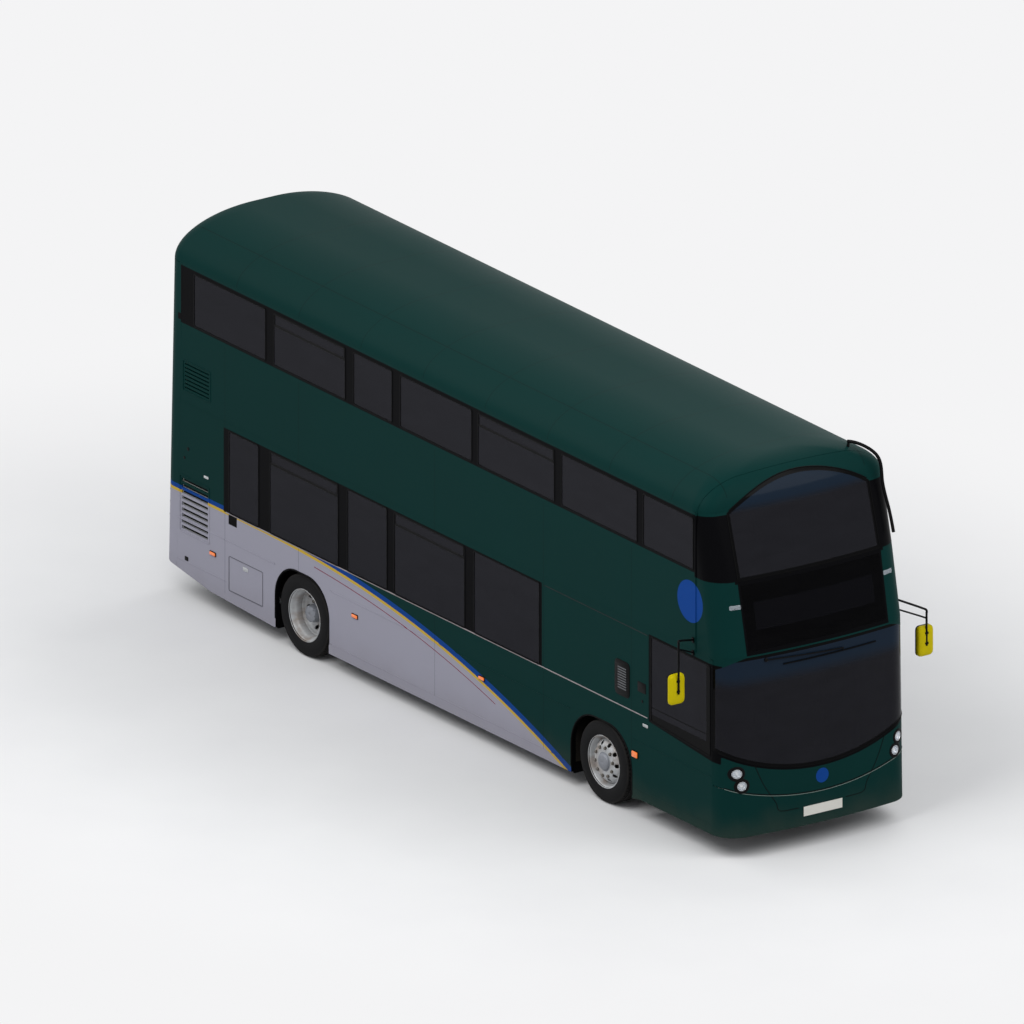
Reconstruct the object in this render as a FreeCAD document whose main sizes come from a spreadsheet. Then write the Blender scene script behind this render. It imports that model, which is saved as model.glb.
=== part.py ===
"""Double-decker bus: two decks, one front doorway on the nearside, rear engine, twin rear wheels.

Frame: +X to the front, +Y to the nearside (left), +Z up, origin on the ground under the middle.
All sizes are millimetres and live in the sheet "sizes".
"""
import FreeCAD, Part
import math
import os
import re
import Sketcher

Vector = FreeCAD.Vector
Rotation = FreeCAD.Rotation
Placement = FreeCAD.Placement
Constraint = Sketcher.Constraint

SIZES = {
    # body envelope
    "half_width": 1260,
    "front_nose": 5430,
    "rear_face": -5545,
    "skirt_low": 190,
    "front_low": 258,
    "brow_high": 2370,
    "cantrail_high": 3950,
    "roof_high": 4385,
    "bow_radius": 8000,
    "front_corner": 300,
    "rear_corner": 205,
    "upper_corner": 240,
    "brow_lean": 45,
    "screen_high": 3200,
    "screen_lean": 215,
    "front_lean": 440,
    "rear_lean": 115,
    "roof_side_round": 980,
    "roof_front_round": 520,
    "roof_rear_round": 70,
    "wall": 60,
    "glass": 8,
    "seam": 4,
    "panel_gap": 6,
    # places of the panel joints
    "front_split": 5088,
    "dome_split": 4780,
    "rear_split": -5260,
    "deck_split": 2320,
    # decks
    "floor_low": 340,
    "floor_thick": 45,
    "floor_rear": 620,
    "floor_step": -1950,
    "bulkhead": -4330,
    "deck_high": 2360,
    "deck_thick": 80,
    # axles and wheels
    "front_axle": 2950,
    "rear_axle": -2830,
    "wheel_high": 478,
    "tyre_radius": 478,
    "tyre_width": 275,
    "rim_radius": 288,
    "wheel_out": 1105,
    "twin_gap": 312,
    "arch_high": 975,
    "front_arch_half": 585,
    "front_arch_round": 450,
    "rear_arch_half": 515,
    "rear_arch_round": 400,
    "arch_inner": 600,
    "arch_top": 1000,
    "arch_plate": 12,
    "kingpin_out": 915,
    "steer_arm": 250,
    "track_rod_high": 212,
    # doorway
    "door_rear": 3715,
    "door_front": 4955,
    "door_low": 345,
    "door_high": 2250,
    "leaf_thick": 30,
    "jamb_gap": 15,
    "leaf_gap": 12,
    "post_in": 60,
    "post_off": -30,
    "post_radius": 20,
    # glazing
    "lower_sill": 1270,
    "lower_head": 2240,
    "upper_sill": 3270,
    "upper_head": 3890,
    "pane_corner": 50,
    "driver_back": 3910,
    "driver_front": 5045,
    "driver_sill_back": 1250,
    "driver_sill_front": 1165,
    # seats
    "seat_wide": 860,
    "driver_seat_wide": 480,
    "cab_floor": 560,
}

doc = FreeCAD.newDocument("double_decker_bus")
sheet = doc.addObject("Spreadsheet::Sheet", "sizes")
for row, (alias, number) in enumerate(SIZES.items(), start=1):
    sheet.set(f"A{row}", alias)
    sheet.set(f"B{row}", str(number))
    sheet.setAlias(f"B{row}", alias)
doc.recompute()

nodes = {}
WORD = re.compile(r"\b[a-z_]+\b")


# ---------------------------------------------------------------- helpers

def linked(text):
    """An expression in which every name of the sheet points at its cell."""
    return WORD.sub(lambda found: f"sizes.{found[0]}" if found[0] in SIZES else found[0], str(text))


def value(text):
    """The number that an expression of sheet names gives now."""
    return float(sheet.evalExpression(str(text)))


def bind(item, **properties):
    """Tie properties of a document object to expressions; __ in a name stands for a dot."""
    for name, text in properties.items():
        item.setExpression(name.replace("__", "."), linked(text))
    return item


def box(name, low, high):
    """A block between two corners, each a triple of expressions."""
    block = doc.addObject("Part::Box", name)
    bind(block, Placement__Base__x=low[0], Placement__Base__y=low[1], Placement__Base__z=low[2])
    return bind(block, Length=f"({high[0]}) - ({low[0]})", Width=f"({high[1]}) - ({low[1]})",
                Height=f"({high[2]}) - ({low[2]})")


TURNS = {"x": Rotation(Vector(0, 1, 0), 90), "y": Rotation(Vector(1, 0, 0), -90), "z": Rotation()}


def rod(name, axis, start, length, radius):
    """A cylinder that runs from a start point along +x, +y or +z."""
    bar = doc.addObject("Part::Cylinder", name)
    bar.Placement = Placement(Vector(), TURNS[axis])
    bind(bar, Placement__Base__x=start[0], Placement__Base__y=start[1], Placement__Base__z=start[2])
    return bind(bar, Height=length, Radius=radius)


def strut(name, start, end, radius):
    """A round bar between two points given as triples of expressions."""
    first = Vector(*(value(text) for text in start))
    last = Vector(*(value(text) for text in end))
    bar = doc.addObject("Part::Cylinder", name)
    bar.Placement = Placement(first, Rotation(Vector(0, 0, 1), last - first))
    bar.Height = (last - first).Length
    return bind(bar, Radius=radius)


def join(name, pieces):
    """One solid from several that meet or overlap; flat faces in line become one."""
    whole = doc.addObject("Part::MultiFuse", name)
    whole.Shapes = pieces
    whole.Refine = True
    return whole


def group(name, pieces):
    """Several pieces that stay apart, in one node."""
    bundle = doc.addObject("Part::Compound", name)
    bundle.Links = pieces
    return bundle


def less(name, base, tools):
    """A base with one tool after another taken away."""
    rest = base
    for number, tool in enumerate(tools, start=1):
        cut = doc.addObject("Part::Cut", name if number == len(tools) else f"{name}_step_{number}")
        cut.Base = rest
        cut.Tool = tool
        rest = cut
    return rest


def shared(name, first, second):
    """What two solids have in common."""
    both = doc.addObject("Part::Common", name)
    both.Base = first
    both.Tool = second
    return both


def mirrored(name, source):
    """The same piece on the other side of the bus."""
    twin = doc.addObject("Part::Mirroring", name)
    twin.Source = source
    twin.Normal = Vector(0, 1, 0)
    return twin


def rounded(name, block, radius, axis):
    """A block with the edges that run along one axis rounded."""
    doc.recompute()
    along = {"x": Vector(1, 0, 0), "y": Vector(0, 1, 0), "z": Vector(0, 0, 1)}[axis]
    size = value(radius)
    picked = [(number, size, size) for number, edge in enumerate(block.Shape.Edges, start=1)
              if abs(edge.tangentAt(edge.FirstParameter).dot(along)) > 0.999]
    soft = doc.addObject("Part::Fillet", name)
    soft.Base = block
    soft.Edges = picked
    return soft


PLANES = {
    "plan": Rotation(),
    "side": Rotation(Vector(1, 0, 0), 90),
    "front": Rotation(Vector(0, 0, 1), 90) * Rotation(Vector(1, 0, 0), 90),
}


def outline(name, plane, corners):
    """A closed sketch through corners of expressions (x, y) in plan, (x, z) at the side, (y, z) in front.

    A corner written (x, y, mid_x, mid_y) starts an arc that passes through its middle point.
    """
    sketch = doc.addObject("Sketcher::SketchObject", name)
    sketch.Placement = Placement(Vector(), PLANES[plane])
    spots = [Vector(value(corner[0]), value(corner[1]), 0) for corner in corners]
    count = len(corners)
    ends = []
    for number, corner in enumerate(corners):
        start = spots[number]
        end = spots[(number + 1) % count]
        if len(corner) == 4:
            middle = Vector(value(corner[2]), value(corner[3]), 0)
            left_turn = (middle - start).cross(end - middle).z > 0
            sketch.addGeometry(Part.Arc(start, middle, end) if left_turn else Part.Arc(end, middle, start))
            ends.append((1, 2) if left_turn else (2, 1))
        else:
            sketch.addGeometry(Part.LineSegment(start, end))
            ends.append((1, 2))
    for number, corner in enumerate(corners):
        after = (number + 1) % count
        sketch.addConstraint(Constraint("Coincident", number, ends[number][1], after, ends[after][0]))
        pin_point(sketch, number, ends[number][0], corner[0], corner[1])
    for number, corner in enumerate(corners):
        if len(corner) == 4:
            middle = Vector(value(corner[2]), value(corner[3]), 0)
            spot = sketch.addGeometry(Part.Point(middle), True)
            pin_point(sketch, spot, 1, corner[2], corner[3])
            sketch.addConstraint(Constraint("PointOnObject", spot, 1, number))
    return sketch


def pin_point(sketch, geometry, end, across, up):
    """Hold one point of a sketch at two expressions from its origin."""
    for kind, text in (("DistanceX", across), ("DistanceY", up)):
        index = sketch.addConstraint(Constraint(kind, -1, 1, geometry, end, value(text)))
        sketch.setExpression(f"Constraints[{index}]", linked(text))


def slab(name, sketch, start, length):
    """A sketch carried along its own normal, from a start for a length."""
    solid = doc.addObject("Part::Extrusion", name)
    solid.Base = sketch
    solid.DirMode = "Normal"
    solid.Solid = True
    return bind(solid, LengthFwd=f"({start}) + ({length})", LengthRev=f"-({start})")


def prism(name, plane, corners, start, length):
    """An outline carried along its plane's normal: +z in plan, -y at the side, +x in front."""
    return slab(name, outline(f"{name}_outline", plane, corners), start, length)


def revolve(name, corners, centre):
    """An outline of (radius, y) turned once round the line along y through a centre."""
    sketch = outline(f"{name}_outline", "plan", corners)
    ring = doc.addObject("Part::Revolution", name)
    ring.Source = sketch
    ring.Axis = Vector(0, 1, 0)
    ring.Angle = 360
    ring.Solid = True
    moved = doc.addObject("Part::Compound", f"{name}_placed")
    moved.Links = [ring]
    return bind(moved, Placement__Base__x=centre[0], Placement__Base__y=centre[1],
                Placement__Base__z=centre[2])


def node(label, item):
    """Name a finished piece as a node."""
    item.Label = label
    nodes[label] = item
    return item


# ---------------------------------------------------------------- body envelope

def plan_section(name, level, front, rear, side, front_round, rear_round):
    """The body's outline at one height: bowed front, round corners, straight sides and rear."""
    sketch = doc.addObject("Sketcher::SketchObject", name)
    bind(sketch, Placement__Base__z=level)
    nose, tail, half = value(front), value(rear), value(side)
    bow = value("bow_radius")
    corner, back = value(front_round), value(rear_round)
    centre = nose - bow
    middle = centre + math.sqrt((bow - corner) ** 2 - (half - corner) ** 2)
    turn = math.atan2(half - corner, middle - centre)

    def arc(across, up, radius, low, high):
        return Part.ArcOfCircle(Part.Circle(Vector(across, up, 0), Vector(0, 0, 1), radius), low, high)

    quarter = math.pi / 2
    pieces = [
        arc(centre, 0, bow, -turn, turn),
        arc(middle, half - corner, corner, turn, quarter),
        Part.LineSegment(Vector(middle, half, 0), Vector(tail + back, half, 0)),
        arc(tail + back, half - back, back, quarter, 2 * quarter),
        Part.LineSegment(Vector(tail, half - back, 0), Vector(tail, back - half, 0)),
        arc(tail + back, back - half, back, 2 * quarter, 3 * quarter),
        Part.LineSegment(Vector(tail + back, -half, 0), Vector(middle, -half, 0)),
        arc(middle, corner - half, corner, 3 * quarter, 4 * quarter - turn),
    ]
    for piece in pieces:
        sketch.addGeometry(piece)
    for number in range(8):
        sketch.addConstraint(Constraint("Tangent", number, 2, (number + 1) % 8, 1))
    sketch.addConstraint(Constraint("Horizontal", 2))
    sketch.addConstraint(Constraint("Horizontal", 6))
    sketch.addConstraint(Constraint("PointOnObject", 0, 3, -1))
    sketch.addConstraint(Constraint("Equal", 1, 7))
    sketch.addConstraint(Constraint("Equal", 3, 5))
    sized = [
        (Constraint("Radius", 0, bow), "bow_radius"),
        (Constraint("Radius", 1, corner), front_round),
        (Constraint("Radius", 3, back), rear_round),
        (Constraint("DistanceX", -1, 1, 4, 1, tail), rear),
        (Constraint("DistanceX", -1, 1, 0, 3, centre), f"({front}) - bow_radius"),
        (Constraint("DistanceY", -1, 1, 2, 1, half), side),
        (Constraint("DistanceY", -1, 1, 6, 1, -half), f"-({side})"),
    ]
    for constraint, text in sized:
        index = sketch.addConstraint(constraint)
        sketch.setExpression(f"Constraints[{index}]", linked(text))
    return sketch


DOME_STEPS = (20, 38, 54, 67, 78, 90)
REAR_LEAN = "rear_lean / (cantrail_high - skirt_low)"


def envelope(name, inset):
    """The closed body shape, shrunk all round by an inset, with a front that leans back in three stages.

    Above the cantrail the sides, front and rear draw in as quarter ellipses to the flat crown.
    """
    side = f"half_width - {inset}"
    rear_round = f"rear_corner - {inset}"
    sections = []
    for word, level, front_back, corner in (("skirt", "skirt_low - 150", "0", "front_corner"),
                                            ("brow", "brow_high", "brow_lean", "front_corner"),
                                            ("screen", "screen_high", "screen_lean", "front_corner"),
                                            ("cantrail", "cantrail_high", "front_lean", "upper_corner")):
        sections.append(plan_section(
            f"{name}_{word}", level, f"front_nose - {inset} - {front_back}",
            f"rear_face + {inset} + {REAR_LEAN} * ({level} - skirt_low)", side, f"{corner} - {inset}",
            rear_round))
    walls = [loft(f"{name}_wall_{number}", sections[number:number + 2], True) for number in range(3)]
    dome = [sections[3]]
    for angle in DOME_STEPS:
        rise = f"(roof_high - cantrail_high - {inset}) * sin({angle} deg)"
        draw = f"(1 - cos({angle} deg))"
        dome.append(plan_section(
            f"{name}_dome_{angle}", f"cantrail_high + {rise}",
            f"front_nose - front_lean - {inset} - roof_front_round * {draw}",
            f"rear_face + {inset} + rear_lean + roof_rear_round * {draw}",
            f"{side} - roof_side_round * {draw}", f"upper_corner - {inset}", rear_round))
    crown = loft(f"{name}_crown", dome, False)
    return join(name, [*walls, crown])


def loft(name, sections, straight):
    """A solid through plan sections, straight or smooth between them."""
    solid = doc.addObject("Part::Loft", name)
    solid.Sections = sections
    solid.Solid = True
    solid.Ruled = straight
    return solid


outer = envelope("outer", "0")
inner = envelope("inner", "wall")
glass_back = envelope("glass_back", "glass")

shell = less("shell", outer, [inner])
skin = less("skin", outer, [glass_back])


def behind_split(name, gap):
    """Everything behind the leaning joint of the side and rear walls, with the joint moved on by a gap."""
    return prism(name, "side", [
        ("rear_face - 200", "0"), (f"rear_split - {REAR_LEAN} * skirt_low + {gap}", "0"),
        (f"rear_split + {REAR_LEAN} * (4500 - skirt_low) + {gap}", "4500"), ("rear_face - 200", "4500"),
    ], "-1500", "3000")


rear_zone = behind_split("rear_zone", "0")
rear_keep_out = behind_split("rear_keep_out", "panel_gap")
skirt_line = prism("skirt_line", "side", [
    ("-5800", "-100"), ("-5800", "430"), ("-5200", "335"), ("-4600", "240"), ("-3400", "skirt_low"),
    ("3300", "skirt_low"),
    ("3700", "front_low"), ("5700", "front_low"), ("5700", "-100"),
], "-1500", "3000")


def arch_shape(word):
    """The wheel opening through both sides: upright ends, a flat top and two round corners."""
    back, front = f"{word}_axle - {word}_arch_half", f"{word}_axle + {word}_arch_half"
    corner = f"{word}_arch_round"
    mid_in = f"{corner} * (1 - cos(45 deg))"
    return prism(f"{word}_arch_shape", "side", [
        (back, "-100"), (front, "-100"),
        (front, f"arch_high - {corner}", f"{front} - {mid_in}", f"arch_high - {mid_in}"),
        (f"{front} - {corner}", "arch_high"),
        (f"{back} + {corner}", "arch_high", f"{back} + {mid_in}", f"arch_high - {mid_in}"),
        (back, f"arch_high - {corner}")], "-1400", "2800")


arches = [arch_shape("front"), arch_shape("rear")]


# ---------------------------------------------------------------- windows

LOWER_PANES = [(-4244, -3667), (-3456, -2129), (-1956, -1187), (-1052, 313), (486, 1756)]
NEARSIDE_EXTRA_PANE = (1906, 3560)
UPPER_PANES = [(-4917, -3532), (-3379, -1994), (-1840, -1090), (-937, 448), (564, 2044), (2179, 3640),
               (3756, 4725)]


def side_openings(name, spans, sill, head, clear, depth):
    """Rounded blocks on the offside: cutters through the wall, or panes when clear is the seam."""
    low_side = "-half_width - 20" if clear == "0" else "-half_width"
    blocks = []
    for number, (back, front) in enumerate(spans, start=1):
        block = box(f"{name}_{number}_block", (f"{back} + {clear}", low_side, f"{sill} + {clear}"),
                    (f"{front} - {clear}", f"-half_width + {depth}", f"{head} - {clear}"))
        blocks.append(rounded(f"{name}_{number}", block, "pane_corner", "y"))
    return blocks


def driver_pane(name, clear, start, length):
    """The driver's side window, whose sill drops to the front."""
    back, front, head = f"driver_back + {clear}", f"driver_front - {clear}", f"lower_head - {clear}"
    corners = [(back, f"driver_sill_back + {clear}"), (front, f"driver_sill_front + {clear}"), (front, head),
               (back, head)]
    return rounded(f"{name}_round", prism(name, "side", corners, start, length), "pane_corner", "y")


lower_holes = side_openings("lower_hole", LOWER_PANES, "lower_sill", "lower_head", "0", "wall + 20")
upper_holes = side_openings("upper_hole", UPPER_PANES, "upper_sill", "upper_head", "0", "wall + 20")
extra_hole = side_openings("extra_hole", [NEARSIDE_EXTRA_PANE], "lower_sill", "lower_head", "0", "wall + 20")
lower_glass = side_openings("lower_glass", LOWER_PANES, "lower_sill", "lower_head", "seam", "glass")
upper_glass = side_openings("upper_glass", UPPER_PANES, "upper_sill", "upper_head", "seam", "glass")
extra_glass = side_openings("extra_glass", [NEARSIDE_EXTRA_PANE], "lower_sill", "lower_head", "seam",
                            "glass")
driver_hole = driver_pane("driver_hole", "0", "half_width - wall - 20", "wall + 40")
driver_glass = driver_pane("driver_glass", "seam", "half_width - glass", "glass")

offside_panes = group("offside_panes", lower_glass + upper_glass + [driver_glass])
nearside_panes = mirrored("nearside_panes", group("nearside_set", lower_glass + upper_glass + extra_glass))


# ---------------------------------------------------------------- side walls

low_zone = box("low_zone", ("rear_face - 50", "-half_width - 50", "0"),
               ("front_split - panel_gap", "0", "deck_split - panel_gap"))
high_zone = box("high_zone", ("rear_face - 50", "-half_width - 50", "deck_split"),
                ("dome_split - panel_gap", "0", "cantrail_high - panel_gap"))
offside_low = shared("offside_low", shell, low_zone)
low_wall = less("low_wall", offside_low, [rear_keep_out, *arches, skirt_line])

FLAP = ("-4240", "-3590", "360", "765")
GRILLE = ("-5190", "-4620", "790", "1450")
VENT = ("-5130", "-4600", "2460", "2820")
flap_hole = box("flap_hole", (FLAP[0], "-half_width - 20", FLAP[2]), (FLAP[1], "-half_width + 100", FLAP[3]))
grille_hole = box("grille_hole", (GRILLE[0], "-half_width - 20", GRILLE[2]),
                  (GRILLE[1], "-half_width + 100", GRILLE[3]))
vent_hole = box("vent_hole", (VENT[0], "-half_width - 20", VENT[2]), (VENT[1], "-half_width + 100", VENT[3]))
node("offside_lower_wall", less("offside_low_wall", low_wall,
                                lower_holes + [driver_hole, flap_hole, grille_hole]))
doorway = box("doorway", ("door_rear", "-half_width - 20", "door_low"),
              ("door_front", "-half_width + 100", "door_high"))
node("nearside_lower_wall", mirrored("nearside_low_wall", less("door_side_wall", low_wall,
                                                               lower_holes + extra_hole + [doorway])))
high_wall = less("high_wall", shared("offside_high", shell, high_zone), [rear_keep_out] + upper_holes)
node("offside_upper_wall", less("offside_high_wall", high_wall, [vent_hole]))
node("nearside_upper_wall", mirrored("nearside_high_wall", high_wall))


def grille(name, hole, slats):
    """A frame with slats, set in a side opening; its size is that of the hole less the seam."""
    left, right, low, high = hole
    edge = 28
    whole = box(f"{name}_whole", (f"{left} + seam", "-half_width + 2", f"{low} + seam"),
                (f"{right} - seam", "-half_width + 36", f"{high} - seam"))
    step = f"(({high}) - ({low}) - 2 * seam - {edge}) / {slats}"
    gaps = [box(f"{name}_gap_{number}",
                (f"{left} + seam + {edge}", "-half_width - 5",
                 f"{low} + seam + {edge} + {number} * ({step})"),
                (f"{right} - seam - {edge}", "-half_width + 60",
                 f"{low} + seam + {number} * ({step}) + ({step})"))
            for number in range(slats)]
    return less(name, whole, gaps)


node("side_grilles", group("side_grille_pair", [grille("radiator_grille", GRILLE, 9),
                                                grille("vent_grille", VENT, 7)]))


# ---------------------------------------------------------------- roof and rear

roof_zone = box("roof_zone", ("rear_face - 50", "-half_width - 50", "cantrail_high"),
                ("dome_split - panel_gap", "half_width + 50", "roof_high + 50"))
node("roof", shared("roof_shell", shell, roof_zone))

rear_block = box("rear_block", ("rear_face - 100", "-half_width - 50", "0"),
                 ("0", "half_width + 50", "cantrail_high - panel_gap"))
rear_shell = shared("rear_shell", shared("rear_shell_low", shell, rear_block), rear_zone)
ENGINE_DOOR = ("950", "400", "1380")
REAR_PANE = ("820", "3230", "3850")


def rear_tool(name, size, clear):
    """A block through the rear wall, half width and two heights, less a clearance."""
    half, low, high = size
    return box(name, ("rear_face - 100", f"-{half} + {clear}", f"{low} + {clear}"),
               ("rear_face + 420", f"{half} - {clear}", f"{high} - {clear}"))


LAMP_HEIGHTS = (860, 1010, 1160)
tail_rods = [rod(f"tail_rod_{side}_{high}", "x", ("rear_face - 50", f"{side} * 1095", f"{high}"), "300", "58")
             for side in (-1, 1) for high in LAMP_HEIGHTS]
tail_holes = [rod(f"tail_hole_{side}_{high}", "x", ("rear_face - 50", f"{side} * 1095", f"{high}"), "300",
                  "58 + seam") for side in (-1, 1) for high in LAMP_HEIGHTS]
rear_window_hole = rounded("rear_window_hole", rear_tool("rear_window_cut", REAR_PANE, "0"), "pane_corner",
                           "x")
rear_window_shape = rounded("rear_window_shape", rear_tool("rear_window_block", REAR_PANE, "seam"),
                            "pane_corner", "x")
node("rear_wall", less("rear_wall_cut", rear_shell, [
    skirt_line, rear_tool("engine_door_hole", ENGINE_DOOR, "0"), rear_window_hole] + tail_holes))
node("engine_door", shared("engine_door_panel", rear_shell, rear_tool("engine_door_block", ENGINE_DOOR,
                                                                      "panel_gap")))
rear_pane = shared("rear_window_pane", skin, rear_window_shape)
node("side_and_rear_windows", group("window_set", [offside_panes, nearside_panes, rear_pane]))
node("tail_lamps", group("tail_lamp_set", [shared(f"{item.Name}_lens", shell, item) for item in tail_rods]))

flap_block = box("flap_block", (f"{FLAP[0]} + panel_gap", "-half_width", f"{FLAP[2]} + panel_gap"),
                 (f"{FLAP[1]} - panel_gap", "-half_width + wall", f"{FLAP[3]} - panel_gap"))
node("service_flap", flap_block)


# ---------------------------------------------------------------- front

WINDSCREEN = [("-1300", "1280", "0", "950"), ("1300", "1280"), ("1300", "2150", "1190", "2260"),
              ("960", "2350"), ("-960", "2350", "-1190", "2260"), ("-1300", "2150")]
DESTINATION = [("-930", "2415"), ("930", "2415"), ("940", "3150"), ("-940", "3150")]
UPPER_SCREEN = [("-960", "3205"), ("960", "3205"), ("960", "3940", "0", "4240"), ("-960", "3940")]
screen_hole = prism("screen_hole", "front", WINDSCREEN, "front_split - 10", "600")
screen_block = prism("screen_block", "front", WINDSCREEN, "front_split + seam", "600")
destination_hole = prism("destination_hole", "front", DESTINATION, "dome_split + 200", "700")
upper_screen_hole = prism("upper_screen_hole", "front", UPPER_SCREEN, "dome_split - 10", "770")
node("lower_windscreen", shared("lower_screen", skin, screen_block))
node("upper_windscreen", shared("upper_screen", skin, upper_screen_hole))
node("destination_glass", shared("destination_pane", skin, destination_hole))


def bumper_shape(name, rise):
    """Everything below the smile-shaped joint over the bumper, lifted by a rise."""
    return prism(name, "front", [
        ("-1400", "-100"), ("1400", "-100"), ("1400", f"900 + {rise}", "0", f"620 + {rise}"),
        ("-1400", f"900 + {rise}")], "front_split - 10", "600")


front_zone = box("front_zone", ("front_split", "-half_width - 50", "front_low"),
                 ("front_nose + 100", "half_width + 50", "1300"))
front_low_shell = shared("front_low_shell", shell, front_zone)
LAMPS = (("1088", "1007"), ("1034", "859"))


def lamp_rods(name, radius):
    """Headlamp cylinders along x, two each side, one above the other."""
    return [rod(f"{name}_{side}_{number}", "x", ("front_split", f"{side} * {across}", up), "500", radius)
            for side in (-1, 1) for number, (across, up) in enumerate(LAMPS)]


node("front_bumper", shared("bumper_shell", front_low_shell, bumper_shape("bumper_block", "0")))
node("front_panel", less("front_panel_cut", front_low_shell, [
    screen_hole, bumper_shape("bumper_gap", "panel_gap")] + lamp_rods("lamp_hole", "68 + seam")))
node("headlamps", group("headlamp_set", [shared(f"{item.Name}_lens", shell, item)
                                         for item in lamp_rods("lamp_rod", "68")]))
dome_zone = join("dome_zone", [
    box("dome_zone_high", ("dome_split", "-half_width - 50", "deck_split"),
        ("front_nose + 100", "half_width + 50", "roof_high + 50")),
    box("dome_zone_tongue", ("front_split", "-half_width - 50", "2000"),
        ("front_nose + 100", "half_width + 50", "deck_split"))])
node("front_dome", less("front_dome_cut", shared("dome_shell", shell, dome_zone),
                        [screen_hole, destination_hole, upper_screen_hole]))


# ---------------------------------------------------------------- decks and inside

ARCH_BACK = "front_axle - arch_inner"
ARCH_FRONT = "front_axle + arch_inner"
REAR_ARCH_BACK = "rear_axle - arch_inner + 15"
REAR_ARCH_FRONT = "rear_axle + arch_inner - 15"
INSIDE = "half_width - wall - 3"

floor_blocks = join("floor_blocks", [
    box("low_floor", ("floor_step", f"-({INSIDE})", "floor_low - floor_thick"),
        ("5040", INSIDE, "floor_low")),
    box("step_riser", ("floor_step - floor_thick", f"-({INSIDE})", "floor_low - floor_thick"),
        ("floor_step", INSIDE, "floor_rear")),
    box("rear_floor", ("bulkhead", f"-({INSIDE})", "floor_rear - floor_thick"),
        ("floor_step", INSIDE, "floor_rear")),
    box("bulkhead_plate", ("bulkhead - 40", f"-({INSIDE})", "floor_rear - floor_thick"),
        ("bulkhead", INSIDE, "deck_high - deck_thick"))])
arch_cuts = [box(f"arch_cut_{word}_{side}", (back, low, "-50"), (front, high, "arch_top"))
             for word, back, front in (("front", ARCH_BACK, ARCH_FRONT),
                                       ("rear", REAR_ARCH_BACK, REAR_ARCH_FRONT))
             for side, low, high in (("left", "arch_inner", "1300"), ("right", "-1300", "-arch_inner"))]
node("lower_floor", less("lower_floor_cut", floor_blocks, arch_cuts))


def arch_box(name, back, front, low):
    """A wheel box on the nearside: open at the wheel's side and below."""
    whole = box(f"{name}_whole", (back, "arch_inner", low), (front, INSIDE, "arch_top"))
    room = box(f"{name}_room", (f"{back} + arch_plate", "arch_inner + arch_plate", f"{low} - 10"),
               (f"{front} - arch_plate", f"{INSIDE} + 10", "arch_top - arch_plate"))
    return less(name, whole, [room])


front_arch = arch_box("front_arch", f"{ARCH_BACK} + 1", f"{ARCH_FRONT} - 1", "floor_low - floor_thick")
rear_arch = arch_box("rear_arch", f"{REAR_ARCH_BACK} + 1", f"{REAR_ARCH_FRONT} - 1",
                     "floor_rear - floor_thick")
node("wheel_arches", group("wheel_arch_set", [front_arch, rear_arch, mirrored("front_arch_right", front_arch),
                                              mirrored("rear_arch_right", rear_arch)]))

# the straight flight runs from its foot up to its head; the turn's steps end at the landing's edge
FLIGHT_HEAD, FLIGHT_FOOT, TURN_EDGE = 2370, 3570, 3895
stairwell = box("stairwell", (f"{FLIGHT_HEAD}", f"-({INSIDE}) - 10", "deck_high - deck_thick - 10"),
                ("3900", "-arch_inner", "deck_high + 10"))
deck_block = join("deck_block", [
    box("deck_main", ("-5265", f"-({INSIDE})", "deck_high - deck_thick"), ("5055", INSIDE, "deck_high")),
    box("deck_rear", ("-5405", "-1040", "deck_high - deck_thick"), ("-5265", "1040", "deck_high"))])
node("upper_floor", less("upper_floor_cut", deck_block, [stairwell]))
RISERS = 9
TURN_STEPS = 3
RISE = f"(deck_high - floor_low) / {RISERS}"
TREAD = (FLIGHT_FOOT - FLIGHT_HEAD) / (RISERS - 1 - TURN_STEPS)
TURN_TREAD = 197
STEP_DEEP = 235


def stair_blocks():
    """Three steps across from the gangway, then a straight flight to the rear over the wheel box."""
    blocks = []
    for number in range(TURN_STEPS):
        inner_edge = f"-arch_inner - {number} * {TURN_TREAD}"
        blocks.append(box(f"turn_step_{number}", (f"{FLIGHT_FOOT}", f"-({INSIDE})", "floor_low + 1"),
                          (f"{TURN_EDGE}", inner_edge, f"floor_low + {number + 1} * {RISE}")))
    for number in range(TURN_STEPS, RISERS - 1):
        place = number - TURN_STEPS
        blocks.append(box(f"flight_step_{number}",
                          (f"{FLIGHT_FOOT} - {place + 1} * {TREAD}", f"-({INSIDE})",
                           f"floor_low + {number + 1} * {RISE} - {STEP_DEEP}"),
                          (f"{FLIGHT_FOOT} + 2 - {place} * {TREAD}", "-arch_inner - 10",
                           f"floor_low + {number + 1} * {RISE}")))
    return blocks


node("staircase", join("staircase_steps", stair_blocks()))

# ---------------------------------------------------------------- driver's place

cab_pieces = [
    box("cab_platform", ("3990", f"-({INSIDE})", "floor_low + 1"), ("4940", "-400", "cab_floor")),
    box("cab_partition", ("3960", f"-({INSIDE})", "floor_low + 1"), ("3990", "-400", "2200")),
    box("cab_side_screen", ("3990", "-430", "cab_floor"), ("4700", "-400", "1450")),
    prism("dash_block", "side", [("4760", "1080"), ("4860", "1180"), ("5130", "1010"), ("5130", "600"),
                                 ("4900", "560"), ("4880", "900")], "430", "620"),
    strut("column", ("4980", "-790", "561"), ("4662", "-790", "1243"), "32"),
]
node("driver_cab", join("driver_cab_pieces", cab_pieces))
column_top = Vector(4640, -790, 1290)
COLUMN_TILT = 25


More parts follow.
